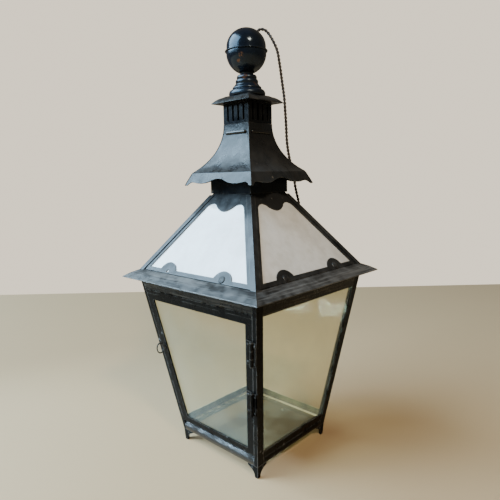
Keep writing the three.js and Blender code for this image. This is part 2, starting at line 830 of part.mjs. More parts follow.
function holderBody() {
  const bottom = holderTop - holderHeight;
  const inner = holderRadius - holderWall;
  const neckFoot = holderTop - holderNeckHeight;
  const floor = holderTop - stemInHolder - holderFloor;
  return revolve([
    [stemHole, holderTop], [holderNeck, holderTop], [holderNeck, neckFoot],
    [holderShoulder, neckFoot - holderShoulderHeight], [holderRadius, holderTop - holderDome],
    [holderRadius, bottom + 3], [holderRadius - 2.5, bottom], [inner, bottom],
    [inner, floor - 2], [stemHole, floor],
  ], 28);
}

// The ring that would hold a shade, with ribs round it for the fingers
function holderRing() {
  const outline = new THREE.Shape(Array.from({ length: 2 * holderRibs }, (_, i) => {
    const radius = i % 2 ? holderRingRadius : holderRingRadius - 1.2;
    const angle = (i * Math.PI) / holderRibs;
    return new THREE.Vector2(Math.cos(angle) * radius, Math.sin(angle) * radius);
  }));
  const bore = new THREE.Path();
  bore.absarc(0, 0, holderRadius + 2 * seat, 0, 2 * Math.PI, true);
  outline.holes.push(bore);
  return extrude(outline, holderRingHeight, 14).translate(0, 0, holderTop - holderRingDrop);
}

// A round tube that follows points
function tube(points, radius, sides, steps) {
  const section = new THREE.Shape(Array.from({ length: sides }, (_, i) => {
    const angle = (2 * Math.PI * i) / sides;
    return new THREE.Vector2(Math.cos(angle) * radius, Math.sin(angle) * radius);
  }));
  const extrudePath = new THREE.CatmullRomCurve3(points, false, 'centripetal');
  return new THREE.ExtrudeGeometry(section, { steps, extrudePath, bevelEnabled: false });
}

// A point on the grommet's axis, at a distance outside the ball's shell
function grommetAxis(distance) {
  const out = grommetRing + Math.sin(grommetTilt) * distance;
  const up = upperCentre + grommetRise + Math.cos(grommetTilt) * distance;
  return vec(out * Math.cos(grommetAngle), out * Math.sin(grommetAngle), up);
}

function innerFlex() {
  const top = stemTop + 6;
  return tube([
    grommetAxis(-grommetIn - seat), grommetAxis(-grommetIn - 6), grommetAxis(-grommetIn - 14),
    vec(0.6, 4, top + 14), vec(0, 0, top + 4), vec(0, 0, top - 6), vec(0, 0, stemTop - 30),
    vec(0, 0, stemBottom + 60), vec(0, 0, stemBottom + 1),
  ], innerFlexRadius, 8, 30);
}

// Flex: out of the ball, down past the cap, over the back edge of the hood, across the back of the
// roof to the far corner of the eave, straight down, and a short end on the ground
function flex() {
  const near = (half, level) => ([x, y, z]) => vec(x, half + y, level + z);
  const onRoof = ([x, out, z]) => vec(x, roofHalf(corniceTop + z) + out, corniceTop + z);
  const atCorner = ([x, y, z]) => vec(x - corniceLipHalf, y + corniceLipHalf, z);
  const pastBall = [
    [5, -9, 33.5], [7.2, -3.1, 36.4], [10.9, 2.7, 35.7], [15.6, 7.5, 29.9],
    [24.3, 10.6, 15.3], [31, 14.5, -2.7],
  ];
  const pastCap = [
    [35.6, 4.7, 74.4], [41.1, 4.9, 40.6], [45.4, 5.7, 9.7], [47.3, 5.9, -15.9],
  ];
  const overHood = [
    [48.8, -32.5, 84.4], [49.6, -31.9, 58.5], [50, -27.9, 34.4], [47, -18.3, 16.9],
    [41, -4.9, 4], [38, 4.1, -10.6], [38, 7.1, -25.6], [41, 8.1, -41.6],
  ];
  const downRoof = [
    [45, 32.1, 124], [46.6, 21.3, 108], [43, 13.3, 93], [34, 9.2, 78.5], [16, 7.2, 64.5],
    [-12, 6.4, 51], [-45, 6.5, 37.4], [-80, 6.7, 25], [-112, 8.4, 14.5], [-136, 13.6, 5],
  ];
  const overLip = [
    [27, -2.8, 10.2], [17.5, 7, -2.8], [13.4, 9, -24.4],
  ];
  const toGround = [
    [13, 8.8, 260], [13, 8.6, 60], [12, 10, 26], [6, 16, 9.5], [-6, 28, 3.8],
    [-28, 52, 3.5], [-50, 76, 3.5],
  ];
  return tube([
    grommetAxis(grommetOut + seat), grommetAxis(grommetOut + 1.8),
    ...pastBall.map(near(ballRadius, upperCentre)), ...pastCap.map(near(capHalf, capBottom)),
    ...overHood.map(near(valanceHalf, crease)), ...downRoof.map(onRoof),
    ...overLip.map(([x, y, z]) => atCorner([x, y, corniceLip + z])), ...toGround.map(atCorner),
  ], flexRadius, 8, 78);
}

// Materials

const material = (color, roughness, metalness) => (
  () => new THREE.MeshStandardMaterial({ color, roughness, metalness })
);

function glassMaterial(color, opacity, roughness) {
  return () => new THREE.MeshStandardMaterial({
    color, roughness, metalness: 0, transparent: true, opacity,
  });
}

const blackSteel = material(0x24282b, 0.5, 0.6);
const edgeSteel = material(0x3c4245, 0.45, 0.7);
const corniceSteel = material(0x343636, 0.5, 0.6);
const roofSteel = material(0x30363a, 0.45, 0.6);
const hoodSteel = material(0x2b3034, 0.42, 0.7);
const ballEnamel = material(0x1d222b, 0.22, 0.5);
const agedBrass = material(0x8c7442, 0.42, 0.85);
const zincSteel = material(0x9a9d9e, 0.4, 0.9);
const darkResin = material(0x241b16, 0.45, 0);
const flexBraid = material(0x3b2d22, 0.85, 0);
const blackRubber = material(0x151515, 0.8, 0);
const clearGlass = glassMaterial(0xdfe8e2, 0.25, 0.05);
const opalGlass = glassMaterial(0xe9edec, 0.85, 0.3);

// Assembly

function piece(name, geometry, paint) {
  const closed = welded(geometry).toNonIndexed();
  closed.computeVertexNormals();
  const mesh = new THREE.Mesh(closed, paint());
  mesh.name = name;
  return mesh;
}

function turnedSide(side) {
  const group = new THREE.Group();
  group.rotation.z = (side * Math.PI) / 2;
  return group;
}

function addCase(group) {
  for (let side = 0; side < 4; side += 1) {
    const face = turnedSide(side);
    const name = sideNames[side];
    const own = side === doorSide ? doorLeg : postLeg;
    const next = (side + 1) % 4 === doorSide ? doorLeg : postLeg;
    face.add(piece(`corner_post_${cornerNames[side]}`, post(own, next), blackSteel));
    face.add(piece(`foot_${cornerNames[side]}`, foot(), edgeSteel));
    if (side === doorSide) {
      face.add(piece('door_sill', doorSill(), blackSteel));
      face.add(piece('head_rail_door', headRail(doorHeadBottom, doorLeg, headMould), blackSteel));
    } else {
      face.add(piece(`bottom_rail_${name}`, fixedBottomRail(), blackSteel));
      face.add(piece(`head_rail_${name}`, headRail(fixedHeadBottom, postLeg, 0), blackSteel));
      face.add(piece(`side_glass_${name}`, sideGlass(), clearGlass));
    }
    group.add(face);
  }
  group.add(piece('base_glass', baseGlass(), clearGlass));
}

// The frame that a hinge is drawn in: out of the door's face, across it, and along the slanted seam
function hingePlace(height) {
  const place = new THREE.Group();
  const out = vec(Math.cos(bodyTilt), 0, -Math.sin(bodyTilt));
  const along = vec(bodyLean, bodyLean, 1).normalize();
  const across = along.clone().cross(out);
  const half = bodyHalf(height);
  place.quaternion.setFromRotationMatrix(new THREE.Matrix4().makeBasis(out, across, along));
  place.position.set(half, half - doorLeg - doorGap / 2, height);
  place.position.addScaledVector(out, knuckleRadius + seat);
  return place;
}

function addDoor(group) {
  const face = turnedSide(doorSide);
  face.add(piece('door_frame', doorFrame(), blackSteel));
  face.add(piece('door_glass', doorGlass(), clearGlass));
  hingeHeights.forEach((height, i) => {
    const place = hingePlace(height);
    const name = ['upper', 'lower'][i];
    place.add(piece(`hinge_${name}_post_leaf`, postLeaf(), edgeSteel));
    place.add(piece(`hinge_${name}_door_leaf`, doorLeaf(), edgeSteel));
    place.add(piece(`hinge_${name}_pin`, hingePin(), zincSteel));
    face.add(place);
  });
  const latch = new THREE.Group();
  const half = bodyHalf(latchHeight);
  latch.position.set(half, latchInset - half, latchHeight);
  latch.rotation.y = bodyTilt;
  latch.add(piece('latch_handle', latchHandle(), edgeSteel));
  latch.add(piece('latch_cam', latchCam(), zincSteel));
  face.add(latch);
  group.add(face);
}

function addRoof(group) {
  group.add(piece('cornice', cornice(), corniceSteel));
  for (let side = 0; side < 4; side += 1) {
    const face = turnedSide(side);
    const slope = new THREE.Group();
    slope.position.set(eaveHalf, 0, corniceTop);
    slope.rotation.y = -roofTilt;
    slope.add(piece(`roof_frame_${sideNames[side]}`, roofFrame(side), roofSteel));
    slope.add(piece(`roof_pane_${sideNames[side]}`, roofGlass(), opalGlass));
    face.add(slope);
    face.add(piece(`hip_bar_${cornerNames[side]}`, hipBar(), hoodSteel));
    group.add(face);
  }
}

function addHood(group) {
  group.add(piece('neck', neck(), hoodSteel));
  group.add(piece('bell_hood', bellHood(), hoodSteel));
  group.add(piece('vent_box', ventBox(), hoodSteel));
  group.add(piece('vent_cap', ventCap(), hoodSteel));
  group.add(piece('finial_base', finialBase(), ballEnamel));
  group.add(piece('ball_lower', lowerBall(), ballEnamel));
  group.add(piece('ball_band', ballBand(), ballEnamel));
  group.add(piece('ball_upper', upperBall(), ballEnamel));
}

function addFittings(group) {
  group.add(piece('stem', stem(), agedBrass));
  group.add(piece('stem_nut_upper', nut(upperNutBottom), agedBrass));
  group.add(piece('stem_nut_lower', nut(bridgeBottom - seat - nutHeight), agedBrass));
  group.add(piece('bridge_bar', bridgeBar(), zincSteel));
  group.add(piece('lampholder', holderBody(), darkResin));
  group.add(piece('lampholder_ring', holderRing(), darkResin));
  group.add(piece('inner_flex', innerFlex(), flexBraid));
  group.add(piece('flex_grommet', grommet(), blackRubber));
  group.add(piece('flex', flex(), flexBraid));
}

const lantern = new THREE.Group();
addCase(lantern);
addDoor(lantern);
addRoof(lantern);
addHood(lantern);
addFittings(lantern);

export default lantern;
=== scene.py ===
"""A worn black square lantern, dressed for a photograph.

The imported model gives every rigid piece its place. This script gives each one its finish, remakes
the turned and flared pieces with smooth surfaces, and adds the small fastenings, the solder seams
and the twisted flex.
"""

from __future__ import annotations

import logging
import math
import random
from dataclasses import dataclass, replace
from enum import Enum
from functools import cached_property
from itertools import accumulate
from typing import Sequence

import bmesh
import bpy
from mathutils import Matrix, Vector


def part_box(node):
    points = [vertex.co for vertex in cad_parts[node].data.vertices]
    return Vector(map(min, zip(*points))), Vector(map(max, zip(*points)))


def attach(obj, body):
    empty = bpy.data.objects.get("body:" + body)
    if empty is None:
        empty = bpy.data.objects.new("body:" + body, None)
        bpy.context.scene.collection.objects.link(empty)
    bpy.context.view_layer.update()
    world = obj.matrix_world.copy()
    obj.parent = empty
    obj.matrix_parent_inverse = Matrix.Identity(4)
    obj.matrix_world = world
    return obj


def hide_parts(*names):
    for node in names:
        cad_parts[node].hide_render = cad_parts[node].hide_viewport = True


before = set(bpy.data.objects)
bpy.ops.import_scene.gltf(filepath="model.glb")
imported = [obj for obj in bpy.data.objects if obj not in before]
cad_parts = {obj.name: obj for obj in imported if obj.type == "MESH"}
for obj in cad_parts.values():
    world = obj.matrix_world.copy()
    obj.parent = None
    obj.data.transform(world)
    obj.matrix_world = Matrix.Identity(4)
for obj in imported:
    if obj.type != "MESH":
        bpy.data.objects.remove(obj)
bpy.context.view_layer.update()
LOG = logging.getLogger("lantern")

Color = tuple[float, float, float]
Point = tuple[float, float, float]
Profile = list[tuple[float, float]]
Head = tuple[float, float, float]  # a screw head's radius and height and its slot's width
Material = bpy.types.Material
Mesh = bpy.types.Mesh
Piece = bpy.types.Object
Socket = bpy.types.NodeSocket

CORNERS = ("right", "back", "left", "front")
DOUBLE = 1e-6  # points closer than this, in metres, are one
RIM_LAP = 0.006  # how far the ball's upper shell goes down below its own middle


class Side(Enum):
    """The four sides of the square, by their quarter turns from +X."""

    RIGHT = 0
    BACK = 1
    LEFT = 2
    DOOR = 3

    @property
    def word(self) -> str:
        """The side's name in the names of nodes."""
        return self.name.lower()

    def turn(self) -> Matrix:
        """Returns the turn that takes the +X side to this side."""
        return Matrix.Rotation(self.value * math.pi / 2, 4, "Z")


class Body(Enum):
    """The bodies that pieces ride on."""

    CASE = "case"
    DOOR = "door"


# Shader expressions


class Wire:
    """A number or colour socket that can be used in a Python expression."""

    def __init__(self, graph: Paint, socket: Socket) -> None:
        """Keeps a socket and the material that it belongs to.

        Args:
            graph: the material's node tree.
            socket: an output socket in it.
        """
        self.graph = graph
        self.socket = socket

    def _with(self, operation: str, *values: Wire | float) -> Wire:
        """Returns a Math node's result on these values."""
        return self.graph.math(operation, *values)

    def __add__(self, other: Wire | float) -> Wire:
        """Returns self + other."""
        return self._with("ADD", self, other)

    __radd__ = __add__

    def __sub__(self, other: Wire | float) -> Wire:
        """Returns self - other."""
        return self._with("SUBTRACT", self, other)

    def __rsub__(self, other: float) -> Wire:
        """Returns other - self."""
        return self._with("SUBTRACT", other, self)

    def __mul__(self, other: Wire | float) -> Wire:
        """Returns self * other."""
        return self._with("MULTIPLY", self, other)

    __rmul__ = __mul__

    def __pow__(self, other: float) -> Wire:
        """Returns self ** other."""
        return self._with("POWER", self, other)

    def sine(self) -> Wire:
        """Returns the sine of self, in radians."""
        return self._with("SINE", self)

    def spread(self, low: float, high: float) -> Wire:
        """Returns 0 below low, 1 above high and a smooth step between.

        Args:
            low: the value that becomes 0.
            high: the value that becomes 1.

        Returns:
            The stepped value.
        """
        return self.graph.wire(
            "ShaderNodeMapRange",
            {"interpolation_type": "SMOOTHSTEP"},
            {"Value": self, "From Min": low, "From Max": high},
        )


class Graph:
    """A node tree that is built node by node."""

    def __init__(self, tree: bpy.types.NodeTree) -> None:
        """Keeps the tree, without the nodes that it came with.

        Args:
            tree: the node tree.
        """
        self.tree = tree
        tree.nodes.clear()

    def node(self, kind: str, settings: dict, inputs: dict) -> bpy.types.Node:
        """Adds a node, sets its own settings and then its sockets.

        Args:
            kind: the node's type.
            settings: its attributes, such as a Math node's operation.
            inputs: a value, a Wire or another node's output for each input, by name or index.

        Returns:
            The new node.
        """
        node = self.tree.nodes.new(kind)
        for key, value in settings.items():
            setattr(node, key, value)
        for key, value in inputs.items():
            source = value.socket if isinstance(value, Wire) else value
            if isinstance(source, Socket):
                self.tree.links.new(source, node.inputs[key])
            else:
                node.inputs[key].default_value = source
        return node

    def out(self, kind: str, settings: dict, inputs: dict, output: int | str = 0) -> Socket:
        """Adds a node as node() does and returns one of its outputs."""
        return self.node(kind, settings, inputs).outputs[output]


class Paint(Graph):
    """One material, built node by node."""

    def __init__(self, name: str) -> None:
        """Starts an empty material.

        Args:
            name: the material's name.
        """
        self.material = bpy.data.materials.new(name)
        self.material.use_nodes = True
        super().__init__(self.material.node_tree)

    def wire(self, kind: str, settings: dict, inputs: dict, output: int | str = 0) -> Wire:
        """Adds a node as node() does and returns one of its outputs for sums."""
        return Wire(self, self.out(kind, settings, inputs, output))

    def math(self, operation: str, *values: Wire | float) -> Wire:
        """Adds a Math node.

        Args:
            operation: its operation.
            values: its inputs in order.

        Returns:
            Its result.
        """
        return self.wire("ShaderNodeMath", {"operation": operation}, dict(enumerate(values)))

    def place(self) -> Wire:
        """Returns the point in the object's own frame, in metres."""
        return self.wire("ShaderNodeTexCoord", {}, {}, "Object")

    def part(self, axis: str, vector: Wire) -> Wire:
        """Returns one part of a vector, by its axis."""
        return self.wire("ShaderNodeSeparateXYZ", {}, {0: vector}, axis)

    def stretched(self, scale: Point) -> Wire:
        """Returns the object's point with each axis scaled.

        Args:
            scale: the three factors.

        Returns:
            The scaled point.
        """
        return self.wire("ShaderNodeMapping", {}, {"Vector": self.place(), "Scale": scale})

    def noise(self, scale: float, detail: float = 3.0, where: Wire | None = None) -> Wire:
        """Adds soft noise from 0 to 1.

        Args:
            scale: how many patches there are to a metre.
            detail: how many finer layers it has.
            where: the point it is read at, or None for the object's own.

        Returns:
            The noise value.
        """
        inputs = {"Vector": where or self.place(), "Scale": scale, "Detail": detail, "Roughness": 0.55}
        return self.wire("ShaderNodeTexNoise", {}, inputs, "Fac")

    def chips(self, scale: float, size: float) -> Wire:
        """Adds scattered spots.

        Args:
            scale: how many cells there are to a metre.
            size: the spot's share of its cell.

        Returns:
            1 in a spot and 0 outside.
        """
        inputs = {"Vector": self.place(), "Scale": scale, "Randomness": 1.0}
        away = self.wire("ShaderNodeTexVoronoi", {}, inputs, "Distance")
        return 1 - away.spread(size * 0.7, size)

    def upward(self) -> Wire:
        """Returns how far the surface faces up, from -1 to 1."""
        return self.part("Z", self.wire("ShaderNodeNewGeometry", {}, {}, "Normal"))

    def rise(self) -> Wire:
        """Returns the height above the ground, in metres."""
        return self.part("Z", self.place())

    def near(self, middle: Point, reach: float) -> Wire:
        """Fades out round a place.

        Args:
            middle: the place, in metres.
            reach: how far the fade goes.

        Returns:
            1 at the place and 0 at its reach.
        """
        ends = {0: self.place(), 1: middle}
        away = self.wire("ShaderNodeVectorMath", {"operation": "DISTANCE"}, ends, "Value")
        return 1 - away.spread(reach * 0.25, reach)

    def edges(self, radius: float) -> Wire:
        """Finds the sharp edges.

        Args:
            radius: how far from an edge the mask reaches, in metres.

        Returns:
            1 along an edge and 0 on a flat.
        """
        bevel = self.wire("ShaderNodeBevel", {"samples": 4}, {"Radius": radius})
        flat = self.wire("ShaderNodeNewGeometry", {}, {}, "True Normal")
        match = self.wire("ShaderNodeVectorMath", {"operation": "DOT_PRODUCT"}, {0: bevel, 1: flat}, "Value")
        return (1 - match).spread(0.01, 0.16)

    def blend(self, share: Wire | float, first: Wire | Color, second: Wire | Color) -> Wire:
        """Mixes two colours.

        Args:
            share: how much of the second shows.
            first: the colour at 0.
            second: the colour at 1.

        Returns:
            The mixed colour.
        """
        inputs = {0: share, 6: self._rgba(first), 7: self._rgba(second)}
        return self.wire("ShaderNodeMix", {"data_type": "RGBA"}, inputs, 2)

    @staticmethod
    def _rgba(color: Wire | Color) -> Wire | tuple[float, ...]:
        """Returns a colour with its alpha, or the Wire as it is."""
        return color if isinstance(color, Wire) else (*color, 1.0)

    def bump(self, height: Wire, distance: float, strength: float = 1.0) -> Wire:
        """Turns a height into a surface normal.

        Args:
            height: the height value.
            distance: what a height of 1 stands for, in metres.
            strength: how much of it is used.

        Returns:
            The normal.
        """
        inputs = {"Height": height, "Distance": distance, "Strength": strength}
        return self.wire("ShaderNodeBump", {}, inputs)

    def principled(self, **inputs: Wire | float | Color) -> Wire:
        """Adds the surface shader.

        Args:
            inputs: its sockets, with underscores for the spaces in their names.

        Returns:
            The shader.
        """
        named = {
            key.replace("_", " "): (*value, 1.0) if isinstance(value, tuple) else value
            for key, value in inputs.items()
        }
        return self.wire("ShaderNodeBsdfPrincipled", {}, named)

    def coated(self, **inputs: Wire | float | Color) -> Material:
        """Ends the material with one surface shader that has these inputs."""
        return self.done(self.principled(**inputs))

    def done(self, surface: Wire) -> Material:
        """Ends the material.

        Args:
            surface: the shader that shows.

        Returns:
            The material.
        """
        self.node("ShaderNodeOutputMaterial", {}, {"Surface": surface})
        return self.material


# Finishes


@dataclass(frozen=True)
class BlackPaint:
    """Old black paint on sheet steel, worn bare along its edges and dusty where it faces up. The bare edges
    also paint edge highlights, its brush strokes of the dust colour can paint a reflected sheen, and it can
    paint shade above set heights.
    """

    name: str
    deep: Color = (0.0035, 0.0038, 0.0042)
    worn: Color = (0.010, 0.0115, 0.013)
    dust: Color = (0.11, 0.105, 0.093)
    bare: Color = (0.15, 0.145, 0.135)
    roughness: float = 0.34
    # how much dust settles where it faces up; on the bottom rails' inner faces it also paints a reflection
    dustiness: float = 0.3
    # how far the edges wear bare, which also paints bright edge highlights
    rubbing: float = 0.7
    brushing: float = 0.00022
    gloss: float = 0.2
    soot: tuple[float, float] = (9.0, 9.1)  # the heights that the painted shade starts and is full at
    along: Point = (260.0, 260.0, 38.0)  # how close the brush strokes are on each axis
    # how strongly brush strokes of the dust colour show: dust on the cornice, a painted reflection of the
    # floor on the head rails
    streaks: float = 0.0

    def material(self) -> Material:
        """Builds the finish.

        Returns:
            The material.
        """
        paint = Paint(self.name)
        broad = paint.noise(11.0, 4.0)
        patch = paint.noise(46.0, 5.0)
        grain = paint.noise(520.0, 3.0)
        strokes = paint.noise(1.0, 3.0, paint.stretched(self.along))
        mottle = patch * 0.6 + broad * 0.4
        film = mottle.spread(0.28, 0.78)
        # painted shade: darker and rougher above the set heights, under the hood
        painted_shade = paint.rise().spread(*self.soot) * (film * 0.6 + 0.4)
        # dust where it faces up; on the bottom rails' inner faces it also paints a reflection
        dust_and_glare = paint.upward().spread(-0.1, 0.95) * film * self.dustiness * (1 - painted_shade)
        # bare metal along the edges: wear that also paints edge highlights
        rubbed = paint.edges(0.0015) * mottle.spread(0.4, 0.56) * self.rubbing
        flakes = paint.chips(62.0, 0.17) * broad.spread(0.54, 0.62)
        color = paint.blend(broad.spread(0.35, 0.7), self.deep, self.worn)
        # brush strokes of the dust colour; on the head rails a painted reflection of the floor
        color = paint.blend(strokes.spread(0.47, 0.66) * self.streaks, color, self.dust)
        color = paint.blend(dust_and_glare, color, self.dust)
        color = paint.blend(flakes * 0.55, color, self.bare)
        color = paint.blend(rubbed, paint.blend(painted_shade, color, self.deep), self.bare)
        rough = patch.spread(0.3, 0.72) * 0.16 + grain * 0.08 + (dust_and_glare + painted_shade) * 0.5
        height = strokes * 0.5 + grain * 0.12 + patch * 1.4 - flakes * 0.35
        return paint.coated(
            Base_Color=color,
            Roughness=rough + (self.roughness - 0.1),
            Metallic=rubbed * 0.6,
            Normal=paint.bump(height, self.brushing * 3.0),
            IOR=1.5,
            Specular_IOR_Level=self.gloss,
        )


@dataclass(frozen=True)
class BallEnamel:
    """Glossy blue-black enamel on copper that shows through where it has worn, and at given spots, which are
    worn copper that also paints reflected glints.
    """

    name: str
    deep: Color = (0.002, 0.003, 0.0055)
    blue: Color = (0.005, 0.0085, 0.0155)
    copper: Color = (0.19, 0.088, 0.042)
    wear: float = 0.64
    roughness: float = 0.12
    gloss: float = 0.36
    sheen: Color = (0.66, 0.83, 1.0)
    # copper spots by place and reach: worn copper, which on the ball also paints the floor's reflected glints
    rubbed: tuple[tuple[Point, float], ...] = ()

    def material(self) -> Material:
        """Builds the finish.

        Returns:
            The material.
        """
        paint = Paint(self.name)
        broad = paint.noise(24.0, 3.0)
        patch = paint.noise(95.0, 5.0)
        grain = paint.noise(700.0, 2.0)
        worn = (broad * 0.5 + patch * 0.5).spread(self.wear, self.wear + 0.05)
        fleck = paint.noise(280.0, 4.0).spread(0.36, 0.62)
        # the given copper spots, worn copper that on the ball also paints reflected glints
        for middle, reach in self.rubbed:
            worn = worn + paint.near(middle, reach) * fleck
        worn = worn.spread(0.0, 1.0)
        color = paint.blend(broad.spread(0.35, 0.68), self.deep, self.blue)
        color = paint.blend(worn * 0.65, color, self.copper)
        height = broad * 2.0 + patch * 0.5 + grain * 0.04
        return paint.coated(
            Base_Color=color,
            Roughness=patch * 0.14 + worn * 0.2 + self.roughness,
            Metallic=worn * 0.7,
            Normal=paint.bump(height, 0.0007),
            IOR=1.5,
            Specular_IOR_Level=self.gloss,
            Specular_Tint=self.sheen,
        )


@dataclass(frozen=True)
class BareMetal:
    """Plated or turned metal with fine scratches and a dull film."""

    name: str
    bright: Color
    dull: Color
    roughness: float = 0.3

    def material(self) -> Material:
        """Builds the finish.

        Returns:
            The material.
        """
        paint = Paint(self.name)
        patch = paint.noise(120.0, 4.0)
        scratch = paint.noise(1.0, 4.0, paint.stretched((1500.0, 160.0, 1500.0)))
        film = patch.spread(0.34, 0.66)
        return paint.coated(
            Base_Color=paint.blend(film, self.bright, self.dull),
            Roughness=film * 0.22 + scratch * 0.1 + self.roughness,
            Metallic=1 - film * 0.3,
            Normal=paint.bump(scratch + patch * 0.6, 0.00008),
        )


@dataclass(frozen=True)
class ClearGlass:
    """Old clear window glass with a greenish cast, a thin film of dust and faint waves."""

    name: str
    tint: Color = (0.95, 0.935, 0.86)
    film: Color = (0.55, 0.56, 0.5)
    dust: float = 0.03

    def material(self) -> Material:
        """Builds the finish.

        Returns:
            The material.
        """
        paint = Paint(self.name)
        cloud = paint.noise(16.0, 5.0)
        specks = paint.chips(210.0, 0.12)
        wave = paint.noise(9.0, 1.0)
        glancing = paint.wire("ShaderNodeLayerWeight", {}, {"Blend": 0.5}, "Facing") ** 4.0
        shown = glancing * 0.75 + cloud.spread(0.35, 0.75) * self.dust + specks * 0.05 + 0.022
        clear = paint.wire("ShaderNodeBsdfTransparent", {}, {"Color": (*self.tint, 1.0)})
        gloss = paint.principled(
            Base_Color=paint.blend(cloud, self.film, (0.38, 0.4, 0.35)),
            Roughness=cloud * 0.1 + 0.02,
            Normal=paint.bump(wave, 0.004, 0.35),
            IOR=1.52,
            Coat_Weight=0.3,
            Coat_Roughness=0.03,
        )
        return paint.done(paint.wire("ShaderNodeMixShader", {}, {0: shown, 1: clear, 2: gloss}))


@dataclass(frozen=True)
class OpalGlass:
    """Milky glass, faintly clouded, with a polished face."""

    name: str
    milk: Color = (0.80, 0.82, 0.83)
    cloud: Color = (0.63, 0.635, 0.62)

    def material(self) -> Material:
        """Builds the finish.

        Returns:
            The material.
        """
        paint = Paint(self.name)
        broad = paint.noise(14.0, 5.0)
        fine = paint.noise(75.0, 4.0)
        color = paint.blend((broad * 0.75 + fine * 0.25).spread(0.36, 0.64), self.cloud, self.milk)
        return paint.coated(
            Base_Color=color,
            Roughness=fine * 0.14 + 0.1,
            Normal=paint.bump(broad * 0.7 + fine * 0.1, 0.0016),
            IOR=1.52,
            Coat_Weight=0.5,
            Coat_Roughness=0.08,
        )


@dataclass(frozen=True)
class Moulded:
    """A dark moulded resin or rubber with a slightly uneven skin."""

    name: str
    dark: Color
    light: Color
    roughness: float

    def material(self) -> Material:
        """Builds the finish.

        Returns:
            The material.
        """
        paint = Paint(self.name)
        swirl = paint.noise(60.0, 5.0)
        skin = paint.noise(900.0, 2.0)
        return paint.coated(
            Base_Color=paint.blend(swirl.spread(0.4, 0.64), self.dark, self.light),
            Roughness=swirl * 0.18 + self.roughness,
            Normal=paint.bump(skin * 0.6 + swirl, 0.00012),
        )


@dataclass(frozen=True)
class Braid:
    """Braided cotton over a conductor, read along the core's own UV map."""

    name: str
    dark: Color = (0.012, 0.008, 0.0055)
    light: Color = (0.03, 0.019, 0.013)
    strands: float = 12.0
    pitch: float = 1100.0

    def material(self) -> Material:
        """Builds the finish.

        Returns:
            The material.
        """
        paint = Paint(self.name)
        uv = paint.wire("ShaderNodeUVMap", {"uv_map": "along"}, {})
        round_it = paint.part("X", uv) * (self.strands * math.pi)
        along = paint.part("Y", uv) * self.pitch
        weave = (round_it + along).sine() * (round_it - along).sine() * 0.5 + 0.5
        fuzz = paint.noise(1400.0, 3.0)
        shade = paint.noise(30.0, 3.0)
        mixed = (weave * 0.75 + fuzz * 0.25) * (shade * 0.6 + 0.7)
        return paint.coated(
            Base_Color=paint.blend(mixed.spread(0.1, 0.95), self.dark, self.light),
            Roughness=fuzz * 0.12 + 0.78,
            Normal=paint.bump(weave + fuzz * 0.4, 0.00022),
            Sheen_Weight=0.25,
            Sheen_Roughness=0.5,
        )


@dataclass(frozen=True)
class PlainFloor:
    """The studio's pale floor."""

    name: str
    color: Color = (0.46, 0.305, 0.16)

    def material(self) -> Material:
        """Builds the finish.

        Returns:
            The material.
        """
        paint = Paint(self.name)
        shade = paint.noise(1.6, 2.0)
        tone = tuple(channel * 0.93 for channel in self.color)
        return paint.coated(
            Base_Color=paint.blend(shade, self.color, tone),
            Roughness=shade * 0.1 + 0.62,
        )


